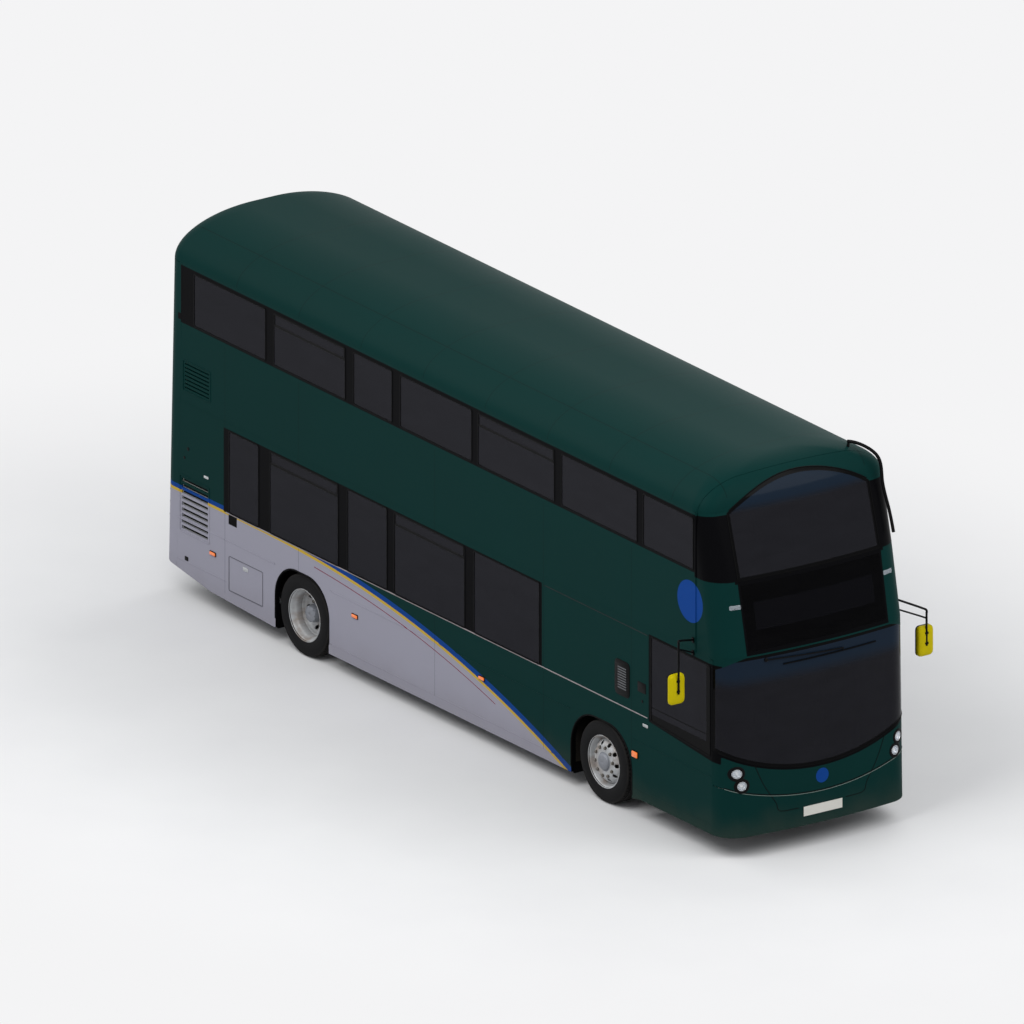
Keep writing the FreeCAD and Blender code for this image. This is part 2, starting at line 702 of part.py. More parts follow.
def steering_wheel():
    """Rim, hub and three spokes, tilted towards the driver."""
    rim = doc.addObject("Part::Torus", "wheel_rim")
    rim.Radius1 = 225
    rim.Radius2 = 16
    hub = doc.addObject("Part::Cylinder", "wheel_hub")
    hub.Radius = 42
    hub.Height = 60
    hub.Placement = Placement(Vector(0, 0, -40), Rotation())
    pieces = [rim, hub]
    for number in range(3):
        spoke = doc.addObject("Part::Cylinder", f"wheel_spoke_{number}")
        spoke.Radius = 11
        spoke.Height = 222
        spoke.Placement = Placement(Vector(), Rotation(Vector(0, 0, 1), 60 + 120 * number)
                                    * Rotation(Vector(0, 1, 0), 90))
        pieces.append(spoke)
    wheel = join("steering_wheel_pieces", pieces)
    wheel.Placement = Placement(column_top, Rotation(Vector(0, 1, 0), -COLUMN_TILT))
    return wheel


node("steering_wheel", steering_wheel())


def seat_shape(name, place, wide, back_high):
    """A cushion with a leaning back, facing +x; place is x of the cushion's rear, y of the middle, z."""
    rear, middle, low = place
    corners = [(0, 0), (430, 20), (440, 95), (90, 90), (-60, back_high), (-130, back_high), (-40, 40)]
    return prism(name, "side", [(f"{rear} + {across}", f"{low} + {up}") for across, up in corners],
                 f"-({middle}) - {wide} / 2", wide)


BENCH_MIDDLE = 750
LEG_MIDDLE = 810
CUSHION_LOW = 350


def bench(name, rear, side, floor):
    """A double seat on its pedestal, as one solid."""
    return join(name, [
        seat_shape(f"{name}_pad", (rear, f"{side} * {BENCH_MIDDLE}", f"{floor} + {CUSHION_LOW}"),
                   "seat_wide", 620),
        box(f"{name}_leg", (f"{rear} + 60", f"{side} * {LEG_MIDDLE} - 30", f"{floor} + 1"),
            (f"{rear} + 360", f"{side} * {LEG_MIDDLE} + 30", f"{floor} + {CUSHION_LOW} + 20"))])


def bench_rows(name, places, floor):
    """Double seats at (x, side) places on one floor."""
    return [bench(f"{name}_{number}", rear, side, floor)
            for number, (rear, side) in enumerate(places, start=1)]


SEAT_PITCH = 740
UPPER_PITCH = 790
low_places = [(-1600 + SEAT_PITCH * number, side) for number in range(4) for side in (-1, 1)] + [(1360, 1)]
rear_places = [(-4130, -1), (-4130, 1)]
upper_rears = [-4960 + UPPER_PITCH * number for number in range(12)]
# the offside rows over the stairs are left out
upper_places = [(rear, side) for rear in upper_rears for side in (-1, 1)
                if side > 0 or not 1300 < rear < 4000]
node("lower_deck_seats", group("lower_seat_set", bench_rows("low_seat", low_places, "floor_low")
                               + bench_rows("rear_seat", rear_places, "floor_rear")))
node("upper_deck_seats", group("upper_seat_set", bench_rows("high_seat", upper_places, "deck_high")))
node("driver_seat", join("driver_chair", [
    seat_shape("driver_seat_pad", ("4140", "-790", "cab_floor + 380"), "driver_seat_wide", 700),
    rod("driver_seat_post", "z", ("4320", "-790", "cab_floor + 1"), "400", "90")]))

POLES = [(2100, 420), (1300, -297), (560, 297), (-180, -297), (-920, 297), (-1880, -297), (3640, 480),
         (3640, -420)]
poles = [rod(f"pole_{number}", "z", (across, side, "floor_low + 1"),
             "deck_high - deck_thick - floor_low - 2", "17")
         for number, (across, side) in enumerate(POLES, start=1)]
node("handrails", group("handrail_set", poles + [join("stair_guard", [
    box("stair_panel", (f"{FLIGHT_HEAD}", "-arch_inner + 5", "deck_high + 1"),
        (f"{TURN_EDGE} + 30", "-arch_inner + 25", "3200")),
    box("stair_end_panel", (f"{TURN_EDGE} + 10", "-1190", "deck_high + 1"),
        (f"{TURN_EDGE} + 30", "-arch_inner + 25", "3200"))])]))

# ---------------------------------------------------------------- chassis

RAIL_LOW, RAIL_HIGH = "245", "floor_low - floor_thick - 2"
REAR_RAIL_LOW, REAR_RAIL_HIGH = "525", "floor_rear - floor_thick - 2"
RAIL_OUT, RAIL_HALF = 420, 40
CROSS_HALF, CROSS_OUT = 30, 1190
rails = []
for side in (-1, 1):
    low_side, high_side = side * RAIL_OUT - RAIL_HALF, side * RAIL_OUT + RAIL_HALF
    rails += [
        box(f"rail_front_{side}", ("floor_step - 60", low_side, RAIL_LOW), ("4980", high_side, RAIL_HIGH)),
        box(f"rail_step_{side}", ("floor_step - 120", low_side, RAIL_LOW),
            ("floor_step - 50", high_side, REAR_RAIL_HIGH)),
        box(f"rail_rear_{side}", ("-5320", low_side, REAR_RAIL_LOW),
            ("floor_step - 50", high_side, REAR_RAIL_HIGH)),
    ]
for place in (-1700, -900, -100, 700, 1500, 2250, 3650, 4300, 4900):
    rails.append(box(f"cross_{place}", (place - CROSS_HALF, -CROSS_OUT, RAIL_LOW),
                     (place + CROSS_HALF, CROSS_OUT, RAIL_HIGH)))
for place in (-4200, -3480, -2180):
    rails.append(box(f"cross_{place}", (place - CROSS_HALF, -CROSS_OUT, REAR_RAIL_LOW),
                     (place + CROSS_HALF, CROSS_OUT, REAR_RAIL_HIGH)))
for place in (-1700, 2250):
    for side in (-1, 1):
        rails.append(rod(f"jacking_pad_{place}_{side}", "z", (place, side * RAIL_OUT, "225"), "40", "60"))
TOW_BORE = "20"
rails += [
    rod("tow_socket_front", "x", ("4950", RAIL_OUT, "222"), "140", "30"),
    rod("tow_socket_rear", "x", ("-5340", RAIL_OUT, "260"), "140", "30"),
    box("tow_bracket_rear", ("-5320", RAIL_OUT - 30, "282"), ("-5220", RAIL_OUT + 30, "540")),
]
tow_bores = [rod("tow_bore_front", "x", ("4990", RAIL_OUT, "222"), "200", TOW_BORE),
             rod("tow_bore_rear", "x", ("-5440", RAIL_OUT, "260"), "200", TOW_BORE)]
node("chassis_frame", less("chassis_bored", join("chassis_pieces", rails), tow_bores))
node("engine", box("engine_block", ("-5120", "-360", "600"), ("-4420", "360", "1280")))

# ---------------------------------------------------------------- wheels and axles

TYRE = [("rim_radius + 1", "-112"), ("rim_radius + 1", "112"), ("307", "114", "385", "tyre_width / 2"),
        ("455", "118"), ("tyre_radius", "100"), ("tyre_radius", "-100"),
        ("455", "-118", "385", "-tyre_width / 2"), ("307", "-114")]
RIM = [("280", "-123"), ("302", "-123"), ("302", "-117"), ("rim_radius", "-117"), ("rim_radius", "117"),
       ("302", "117"), ("302", "123"), ("284", "123"), ("232", "140"), ("110", "140"), ("110", "128"),
       ("226", "128"), ("280", "96")]
SPINDLE = "30"


def hub_turned(name, centre, low, high, radius, bore, depth):
    """A hub along y from low to high, with a blind bore from its inner end."""
    body = doc.addObject("Part::Cylinder", f"{name}_round")
    body.Placement = Placement(Vector(), TURNS["y"])
    bind(body, Placement__Base__x=centre[0], Placement__Base__y=f"{centre[1]} + ({low})",
         Placement__Base__z=centre[2], Height=f"({high}) - ({low})", Radius=radius)
    hole = doc.addObject("Part::Cylinder", f"{name}_bore")
    hole.Placement = Placement(Vector(), TURNS["y"])
    bind(hole, Placement__Base__x=centre[0], Placement__Base__y=f"{centre[1]} + ({low}) - 5",
         Placement__Base__z=centre[2], Height=f"{depth} + 5", Radius=bore)
    return less(name, body, [hole])


def front_wheel_pieces():
    """Left front tyre, and its rim with the hub."""
    centre = ("front_axle", "wheel_out", "wheel_high")
    tyre = revolve("front_tyre", TYRE, centre)
    rim = revolve("front_rim_ring", RIM, centre)
    hub = hub_turned("front_hub", centre, "-20", "150", "112", "30.05", "120")
    return tyre, join("front_rim", [rim, hub])


def rear_wheel_pieces():
    """Left rear twin tyres, and their two rims on one hub."""
    out = ("rear_axle", "wheel_out", "wheel_high")
    into = ("rear_axle", "wheel_out - twin_gap", "wheel_high")
    tyres = group("rear_tyres", [revolve("outer_tyre", TYRE, out), revolve("inner_tyre", TYRE, into)])
    dished = [(radius, f"-({across})") for radius, across in RIM]
    outer_rim = revolve("outer_rim_ring", dished, out)
    inner_rim = revolve("inner_rim_ring", RIM, into)
    hub = hub_turned("rear_hub", into, "-20", "330", "112", "45.05", "250")
    return tyres, join("rear_rim", [outer_rim, inner_rim, hub])


front_tyre, front_rim = front_wheel_pieces()
rear_tyres, rear_rim = rear_wheel_pieces()
node("front_left_tyre", front_tyre)
node("front_left_rim", front_rim)
node("front_right_tyre", mirrored("front_tyre_right", front_tyre))
node("front_right_rim", mirrored("front_rim_right", front_rim))
node("rear_left_tyres", rear_tyres)
node("rear_left_rims", rear_rim)
node("rear_right_tyres", mirrored("rear_tyres_right", rear_tyres))
node("rear_right_rims", mirrored("rear_rims_right", rear_rim))

pin_place = ("front_axle", "kingpin_out")
beam_end = [
    box("beam_upright", ("front_axle - 20", "kingpin_out - 135", "150"),
        ("front_axle + 80", "kingpin_out - 65", "665")),
    box("beam_lug_low", ("front_axle - 50", "kingpin_out - 135", "280"),
        ("front_axle + 50", "kingpin_out + 50", "338")),
    box("beam_lug_high", ("front_axle - 50", "kingpin_out - 135", "606"),
        ("front_axle + 50", "kingpin_out + 50", "665")),
    rod("kingpin", "z", (*pin_place, "280"), "385", "22"),
]
beam_left = join("beam_left", beam_end)
node("front_axle_beam", join("front_beam", [
    beam_left, mirrored("beam_right", beam_left),
    box("beam_middle", ("front_axle - 20", "-kingpin_out + 70", "150"),
        ("front_axle + 80", "kingpin_out - 70", "235"))]))

knuckle_solid = join("knuckle_solid", [
    rod("knuckle_boss", "z", (*pin_place, "343"), "258", "55"),
    rod("knuckle_spindle", "y", ("front_axle", "kingpin_out + 30", "wheel_high"),
        "wheel_out - kingpin_out + 60", SPINDLE),
    box("knuckle_arm", ("front_axle - steer_arm - 22", "kingpin_out - 20", "343"),
        ("front_axle - 30", "kingpin_out + 20", "378")),
    rod("knuckle_arm_pin", "z", ("front_axle - steer_arm", "kingpin_out", "track_rod_high - 20"),
        "378 - track_rod_high + 10", "12")])
knuckle = less("knuckle", knuckle_solid, [rod("knuckle_bore", "z", (*pin_place, "300"), "400", "22.05")])
node("left_knuckle", knuckle)
node("right_knuckle", mirrored("knuckle_right", knuckle))


def track_rod():
    """The bar between the two steering arms, with an eye round each arm's pin."""
    eyes = []
    holes = []
    for side in (-1, 1):
        place = ("front_axle - steer_arm", f"{side} * kingpin_out", "track_rod_high - 18")
        eyes.append(rod(f"rod_eye_{side}", "z", place, "36", "27"))
        holes.append(rod(f"rod_eye_hole_{side}", "z", (place[0], place[1], "track_rod_high - 40"), "80",
                         "12.05"))
    bar = rod("rod_bar", "y", ("front_axle - steer_arm", "-kingpin_out + 20", "track_rod_high"),
              "2 * kingpin_out - 40", "16")
    return less("track_rod_eyed", join("track_rod_solid", eyes + [bar]), holes)


node("track_rod", track_rod())

rear_axle_pieces = [
    rod("rear_tube", "y", ("rear_axle", "-600", "360"), "1200", "75"),
    doc.addObject("Part::Sphere", "differential"),
]
bind(rear_axle_pieces[1], Radius="165", Placement__Base__x="rear_axle", Placement__Base__z="360")
for side in (-1, 1):
    rear_axle_pieces += [
        box(f"drop_case_{side}", ("rear_axle - 95", f"{side} * 600 - 60", "280"),
            ("rear_axle + 95", f"{side} * 600 + 60", "575")),
        rod(f"rear_spindle_{side}", "y", ("rear_axle", f"{side} * 800 - 220", "wheel_high"), "440", "45"),
        box(f"spring_seat_{side}", ("rear_axle - 470", f"{side} * 520 - 45", "250"),
            ("rear_axle + 470", f"{side} * 520 + 45", "300")),
    ]
node("rear_axle_tube", join("rear_axle_pieces", rear_axle_pieces))
node("air_springs", group("air_spring_set", [
    rod(f"spring_{end}_{side}", "z", (f"rear_axle + {end} * 400", f"{side} * 520", "301"), "222", "68")
    for end in (-1, 1) for side in (-1, 1)]))

# ---------------------------------------------------------------- entrance doors

LEAF_WIDE = "(door_front - door_rear - 2 * jamb_gap - leaf_gap) / 2"
LEAF_Y = "half_width - wall / 2"
LEAF_LOW, LEAF_HIGH = "380", "2232"
ARM_THICK = 22
ARM_PLACES = ((347, 385), (2242, 2212))
ARM_LONG = f"(jamb_gap + {LEAF_WIDE} / 2 - post_off)"


def door_set(word, jamb, way):
    """One leaf with its glass, and its turning post with two arms; way is +1 towards the front."""
    low, high = sorted((f"{jamb} + {way} * jamb_gap", f"{jamb} + {way} * (jamb_gap + {LEAF_WIDE})"),
                       key=value)
    post_x = f"{jamb} + {way} * post_off"
    pin_x = f"{jamb} + {way} * (jamb_gap + {LEAF_WIDE} / 2)"
    pin_y = f"{LEAF_Y} - post_in"
    frame = box(f"{word}_leaf_block", (low, f"{LEAF_Y} - leaf_thick / 2", LEAF_LOW),
                (high, f"{LEAF_Y} + leaf_thick / 2", LEAF_HIGH))
    opening = box(f"{word}_leaf_opening", (f"{low} + 55", f"{LEAF_Y} - 40", f"{LEAF_LOW} + 110"),
                  (f"{high} - 55", f"{LEAF_Y} + 40", f"{LEAF_HIGH} - 90"))
    holders = []
    post_pieces = [rod(f"{word}_post_round", "z", (post_x, pin_y, "345"), "1923", "post_radius")]
    eyes = []
    near, far = sorted((post_x, pin_x), key=value)
    for arm_low, lug_low in ARM_PLACES:
        tag = f"{word}_{arm_low}"
        pin_low, pin_high = min(arm_low, lug_low), max(arm_low + ARM_THICK, lug_low + 14)
        holders += [
            box(f"{tag}_lug", (f"{pin_x} - 16", f"{pin_y} - 14", f"{lug_low}"),
                (f"{pin_x} + 16", f"{LEAF_Y} - leaf_thick / 2 + 8", f"{lug_low} + 14")),
            rod(f"{tag}_pin", "z", (pin_x, pin_y, f"{pin_low}"), f"{pin_high - pin_low}", "8")]
        post_pieces += [
            box(f"{tag}_arm", (near, f"{pin_y} - 11", f"{arm_low}"),
                (far, f"{pin_y} + 11", f"{arm_low} + {ARM_THICK}")),
            rod(f"{tag}_arm_eye", "z", (pin_x, pin_y, f"{arm_low}"), f"{ARM_THICK}", "15")]
        eyes.append(rod(f"{tag}_arm_hole", "z", (pin_x, pin_y, f"{arm_low} - 10"), f"{ARM_THICK} + 20",
                        "8.05"))
    leaf = join(f"{word}_leaf_all", [less(f"{word}_leaf_frame", frame, [opening])] + holders)
    pane = box(f"{word}_pane", (f"{low} + 58", f"{LEAF_Y} + leaf_thick / 2 - 9", f"{LEAF_LOW} + 113"),
               (f"{high} - 58", f"{LEAF_Y} + leaf_thick / 2 - 3", f"{LEAF_HIGH} - 93"))
    post = less(f"{word}_post_eyed", join(f"{word}_post_all", post_pieces), eyes)
    return leaf, pane, post


for word, jamb, way in (("front", "door_front", -1), ("rear", "door_rear", 1)):
    leaf, pane, post = door_set(word, jamb, way)
    node(f"{word}_door_leaf", leaf)
    node(f"{word}_door_glass", pane)
    node(f"{word}_door_post", post)

# ---------------------------------------------------------------- outside fittings

MIRROR_BARS_APART = 100


def mirror_set(name, side, out, head_high, feet, elbow):
    """A mirror head on two bars from feet on the front corner, (x, z) each, hung from an elbow (x, z)."""
    arm_out = f"{side} * {out}"
    drop, high = elbow
    bars = [strut(f"{name}_drop", (drop, arm_out, high), (drop, arm_out, f"{head_high} - 50"), "12")]
    for number, (foot, foot_high) in enumerate(feet):
        start = (foot, f"{side} * 1270", foot_high)
        end = (drop, arm_out, f"{high} - {number * MIRROR_BARS_APART}")
        bars += [strut(f"{name}_arm_{number}", start, end, "12"),
                 box(f"{name}_foot_{number}", (f"{foot} - 25", f"{side} * 1276 - 15", f"{foot_high} - 30"),
                     (f"{foot} + 25", f"{side} * 1276 + 15", f"{foot_high} + 30"))]
    head = box(f"{name}_head", ("4900", f"{arm_out} - 105", f"{head_high} - 180"),
               ("4990", f"{arm_out} + 105", f"{head_high} + 180"))
    return join(name, [head] + bars)


node("mirrors", group("mirror_pair", [
    mirror_set("mirror_right", -1, 1650, "2020", (("4725", "2450"), ("4725", "2300")), ("4996", "2600")),
    mirror_set("mirror_left", 1, 1710, "1890", (("4975", "2490"), ("5020", "2380")), ("4985", "2265"))]))

GUARD = [("4690", "850", "4340"), ("4880", "960", "4310"), ("4985", "1040", "4220"), ("5000", "1100", "3930"),
         ("5070", "1140", "3600"), ("5140", "1155", "3340")]


def bent_bar(name, places, radius):
    """A round bar along a smooth curve through places."""
    curve = Part.BSplineCurve()
    curve.interpolate([Vector(*(value(text) for text in place)) for place in places])
    path = doc.addObject("Part::Feature", f"{name}_path")
    path.Shape = Part.Wire(curve.toShape())
    ring = doc.addObject("Part::Circle", f"{name}_ring")
    ring.Radius = radius
    start = curve.value(curve.FirstParameter)
    ring.Placement = Placement(start, Rotation(Vector(0, 0, 1), curve.tangent(curve.FirstParameter)[0]))
    sweep = doc.addObject("Part::Sweep", name)
    sweep.Sections = [ring]
    sweep.Spine = (path, ["Edge1"])
    sweep.Solid = True
    sweep.Frenet = False
    return sweep


node("tree_guard", bent_bar("guard_bar", GUARD, 19))

node("windscreen_wiper", join("wiper_pieces", [
    rod("wiper_pivot", "x", ("5360", "-720", "2290"), "40", "22"),
    strut("wiper_arm", ("5400", "-720", "2290"), ("5405", "300", "2240"), "8"),
    strut("wiper_blade", ("5400", "-500", "2205"), ("5400", "760", "2205"), "9"),
    strut("wiper_yoke", ("5404", "290", "2241"), ("5400", "290", "2205"), "7")]))
node("number_plates", group("plate_pair", [
    box("front_plate", ("front_nose - 5", "-260", "370"), ("front_nose", "260", "481")),
    box("rear_plate", ("rear_face", "-260", "395"), ("rear_face + 6", "260", "506"))]))

# ---------------------------------------------------------------- check and write

doc.recompute()
failed = [item.Name for item in doc.Objects if {"Invalid", "Error"} & set(item.State)]
if failed:
    raise RuntimeError(f"failed objects: {failed}")
os.makedirs("parts", exist_ok=True)
for label, item in nodes.items():
    shape = item.Shape
    if shape.isNull() or not shape.isValid() or not shape.Solids:
        raise RuntimeError(f"{label} has no valid solid")
for label, item in nodes.items():
    item.Shape.exportStep(f"parts/{label}.step")
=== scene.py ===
"""Double-decker bus: paint, glazing trim, lamps, wheels, seats and fittings round the packed frame.

Metres, in the frame's own axes: +X to the front, +Y to the nearside, +Z up, the ground at zero.
Every new piece is a surface worked out on a grid; its function's docstring gives the formula.
"""
import math

import bmesh
import bpy
import numpy as np
from bpy.props import FloatProperty, FloatVectorProperty, IntProperty, PointerProperty
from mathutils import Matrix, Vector


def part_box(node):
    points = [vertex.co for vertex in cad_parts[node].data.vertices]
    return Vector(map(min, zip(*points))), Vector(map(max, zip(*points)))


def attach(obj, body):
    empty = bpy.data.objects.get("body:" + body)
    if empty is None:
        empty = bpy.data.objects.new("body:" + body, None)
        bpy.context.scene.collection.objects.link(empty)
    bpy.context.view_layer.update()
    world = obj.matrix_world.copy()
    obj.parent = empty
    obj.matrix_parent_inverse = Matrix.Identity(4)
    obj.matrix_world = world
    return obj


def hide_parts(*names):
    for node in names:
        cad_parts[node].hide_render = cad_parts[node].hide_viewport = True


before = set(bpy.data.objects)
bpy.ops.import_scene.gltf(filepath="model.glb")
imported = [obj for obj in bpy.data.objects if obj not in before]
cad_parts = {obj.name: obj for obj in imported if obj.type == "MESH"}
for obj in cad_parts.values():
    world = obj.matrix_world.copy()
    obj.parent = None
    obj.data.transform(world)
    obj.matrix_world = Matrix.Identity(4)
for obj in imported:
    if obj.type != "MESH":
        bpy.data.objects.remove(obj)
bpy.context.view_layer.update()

bl_info = {
    "name": "Double-decker bus",
    "version": (1, 0, 0),
    "blender": (4, 5, 0),
    "location": "View3D > Sidebar > Bus",
    "description": "Adds the finishes and fittings of a two-deck city bus to its packed frame",
    "category": "Object",
}

TURN = 2 * math.pi
BOTH = (-1, 1)


def tint(red, green, blue):
    """A display colour from 0 to 255 as the linear one that shaders use."""
    share = np.array([red, green, blue]) / 255
    return tuple(np.where(share <= 0.04045, share / 12.92, ((share + 0.055) / 1.055) ** 2.4).tolist())


def scaled(colour, by):
    """A colour with each part times a number."""
    return tuple(part * by for part in colour)


def colour(name, about, red, green, blue):
    """A colour property with a display colour as its default."""
    return FloatVectorProperty(name=name, description=about, default=tint(red, green, blue), subtype="COLOR",
                               min=0, max=1)


def number(name, about, default, **more):
    """A property of any number."""
    return FloatProperty(name=name, description=about, default=default, **more)


def length(name, about, metres):
    """A length property in metres."""
    return number(name, about, metres, unit="LENGTH", min=0)


def count(name, about, default, low, high):
    """A whole number property."""
    return IntProperty(name=name, description=about, default=default, min=low, max=high)


# ------------------------------------------------------------------ sizes and colours

class BusPaintSettings(bpy.types.PropertyGroup):
    """The livery's colours and the line of its sweep."""
    body: colour("Body", "Green of the upper body", 9, 43, 41)
    skirt: colour("Skirt", "Pale grey below the sweep", 148, 147, 159)
    gold: colour("Gold", "Lower stripe of the sweep", 184, 154, 58)
    blue: colour("Blue", "Upper stripe and plain discs", 18, 60, 128)
    maroon: colour("Maroon", "Fine line under the sweep", 120, 40, 62)
    lining: colour("Lining", "Inside of the panels", 168, 170, 166)
    sweep_high: length("Sweep height", "Height of the gold stripe at the rear", 1.256)
    sweep_start: number("Sweep start", "Where the stripe begins to fall, along the bus", -3.9, unit="LENGTH")
    sweep_fall: number("Sweep fall", "How fast the stripe falls to the front", 0.0162)
    sweep_power: number("Sweep curve", "Power of the stripe's curve", 2.303)
    gold_wide: length("Gold width", "Width of the gold stripe", 0.034)
    blue_wide: length("Blue width", "Width of the blue stripe", 0.052)


class BusTrimSettings(bpy.types.PropertyGroup):
    """Rubber, mouldings and lamps."""
    gasket: length("Gasket", "Half width of the rubber round a pane", 0.010)
    moulding: length("Moulding", "Half height of the side mouldings", 0.011)
    hopper_drop: length("Hopper drop", "Distance from a pane's head to its transom", 0.145)
    rubber: colour("Rubber", "Rubber and black trim", 6, 6, 7)
    mirror: colour("Mirror back", "Plastic shell of the mirrors", 186, 170, 5)
    amber: colour("Amber", "Side markers and turn lamps", 235, 110, 16)
    red: colour("Red", "Tail and stop lamps", 150, 10, 14)


class BusWheelSettings(bpy.types.PropertyGroup):
    """Tyres, wheel discs and nuts."""
    nuts: count("Nuts", "Nuts on each wheel", 10, 4, 16)
    holes: count("Hand holes", "Openings in each wheel disc", 10, 4, 16)
    blocks: count("Shoulder blocks", "Tread blocks round a tyre", 64, 16, 96)
    groove: length("Groove depth", "Depth of the tread grooves", 0.011)
    disc: colour("Disc", "Paint of the wheel discs", 178, 180, 182)


class BusSeatSettings(bpy.types.PropertyGroup):
    """Passenger seats."""
    cloth: colour("Cloth", "Ground of the seat cloth", 34, 62, 92)
    fleck: colour("Fleck", "Flecks in the seat cloth", 150, 132, 62)
    crown: length("Crown", "How far a cushion swells in its middle", 0.016)
    wide: length("Cushion width", "Width of one place", 0.412)


class BusStageSettings(bpy.types.PropertyGroup):
    """Camera and lights."""
    azimuth: number("Azimuth", "Camera turn round the bus, in degrees", 55)
    elevation: number("Elevation", "Camera height angle, in degrees", 20)
    wide: length("View width", "Width of the picture at the bus", 11.34)
    key: number("Key light", "Power of the main soft light", 1500, unit="POWER")


# ------------------------------------------------------------------ surfaces

class Shape:
    """Surfaces gathered as whole arrays until they become one mesh."""

    def __init__(self):
        self.points = []
        self.faces = []
        self.count = 0

    def add(self, points, *faces):
        """Vertices as rows of x, y, z with arrays of faces that index them."""
        points = np.asarray(points, float).reshape(-1, 3)
        self.points.append(points)
        self.faces += [np.asarray(face) + self.count for face in faces]
        self.count += len(points)
        return self

    def grid(self, points, round_rows=False, round_columns=True, ends=True):
        """A grid of rows and columns of points; ends closes its first and last rows with one face."""
        rows, columns = points.shape[:2]
        row = np.arange(rows if round_rows else rows - 1)[:, None]
        column = np.arange(columns if round_columns else columns - 1)[None]
        row_next, column_next = (row + 1) % rows, (column + 1) % columns
        quads = np.stack([row * columns + column, row_next * columns + column,
                          row_next * columns + column_next, row * columns + column_next], -1)
        closing = []
        if ends and not round_rows:
            first = np.arange(columns)[None]
            closing = [first, first + (rows - 1) * columns]
        return self.add(points, quads.reshape(-1, 4), *closing)

    def repeat(self, other, places, turns=None):
        """Copies of another shape, each turned by a matrix and moved to a place."""
        points = np.concatenate(other.points)
        places = np.asarray(places, float).reshape(-1, 3)
        if turns is None:
            copies = points[None] + places[:, None]
        else:
            copies = np.einsum("kij,nj->kni", np.asarray(turns, float), points) + places[:, None]
        shift = np.arange(len(places))[:, None, None] * len(points)
        return self.add(copies, *[(face[None] + shift).reshape(-1, face.shape[1]) for face in other.faces])

    def mesh(self, name):
        """One welded mesh whose closed shells face outwards."""
        mesh = bpy.data.meshes.new(name)
        faces = [row for face in self.faces for row in face.tolist()]
        mesh.from_pydata(np.concatenate(self.points).tolist(), [], faces)
        work = bmesh.new()
        work.from_mesh(mesh)
        bmesh.ops.remove_doubles(work, verts=work.verts, dist=2e-6)
        bmesh.ops.recalc_face_normals(work, faces=work.faces)
        work.to_mesh(mesh)
        work.free()
        mesh.validate()
        mesh.set_sharp_from_angle(angle=math.radians(38))
        return mesh


def gathered(shapes):
    """Several shapes as one."""
    whole = Shape()
    for shape in shapes:
        whole.add(np.concatenate(shape.points), *shape.faces)
    return whole


def rounded(corners, radius, steps=5):
    """A polygon whose corners are parabolas, each from one radius before its corner to one radius after."""
    spots = np.asarray(corners, float)
    back, ahead = np.roll(spots, 1, 0) - spots, np.roll(spots, -1, 0) - spots
    far_back = np.linalg.norm(back, axis=1, keepdims=True)
    far_ahead = np.linalg.norm(ahead, axis=1, keepdims=True)
    reach = np.minimum(radius, 0.49 * np.minimum(far_back, far_ahead))
    start, end = spots + back / far_back * reach, spots + ahead / far_ahead * reach
    t = np.linspace(0, 1, steps + 1)[None, :, None]
    curve = (1 - t) ** 2 * start[:, None] + 2 * t * (1 - t) * spots[:, None] + t * t * end[:, None]
    return curve.reshape(-1, spots.shape[1])


def oblong(wide, high, radius, middle=(0, 0), steps=5):
    """A rounded rectangle about a middle point."""
    across, up = wide / 2, high / 2
    return rounded([(-across, -up), (across, -up), (across, up), (-across, up)], radius, steps) + middle


def box_outline(low, high, out=0.0):
    """Corners of an upright rectangle between two corners of a box, moved outwards."""
    left, right, foot, head = low[0] - out, high[0] + out, low[-1] - out, high[-1] + out
    return [(left, foot), (right, foot), (right, head), (left, head)]


def round_angles(sides):
    """Equal angles of one turn."""
    return np.linspace(0, TURN, sides, endpoint=False)


def circle(radius, sides=24):
    """Points (r cos t, r sin t)."""
    angle = round_angles(sides)
    return np.stack([radius * np.cos(angle), radius * np.sin(angle)], 1)


def lifted(ring, level, plane):
    """A flat ring put in the frame: (x, y) in plan, (x, z) at the side or (y, z) in front, at a level."""
    level = np.broadcast_to(level, ring.shape[:1])
    order = {"plan": (ring[:, 0], ring[:, 1], level), "side": (ring[:, 0], level, ring[:, 1]),
             "front": (level, ring[:, 0], ring[:, 1])}[plane]
    return np.stack(order, 1)


def stepped(outline, middle, rows, plane):
    """A closed shell: the outline about its middle, at each row's size and level."""
    spread = outline - middle
    return Shape().grid(np.stack([lifted(middle + spread * size, level, plane) for size, level in rows]))


def plank(outline, low, high, edge=0.003, plane="side"):
    """A flat piece: its outline at each face is drawn in towards the middle by the edge's radius."""
    middle = (outline.max(0) + outline.min(0)) / 2
    far = np.linalg.norm(outline - middle, axis=1, keepdims=True)
    rows = [(edge, low), (edge * 0.3, low + edge * 0.3), (0, low + edge), (0, high - edge),
            (edge * 0.3, high - edge * 0.3), (edge, high)]
    return stepped(outline, middle, [(1 - inset / far, level) for inset, level in rows], plane)


def block(low, high, edge=0.004, radius=0.01, plane="side"):
    """A plank with a rounded rectangle for outline, between two corners of a box."""
    low, high = np.minimum(low, high), np.maximum(low, high)
    pick = {"plan": (0, 1, 2), "side": (0, 2, 1), "front": (1, 2, 0)}[plane]
    size, middle = (high - low)[list(pick[:2])], ((high + low) / 2)[list(pick[:2])]
    return plank(oblong(size[0], size[1], radius, middle), low[pick[2]], high[pick[2]], edge, plane)


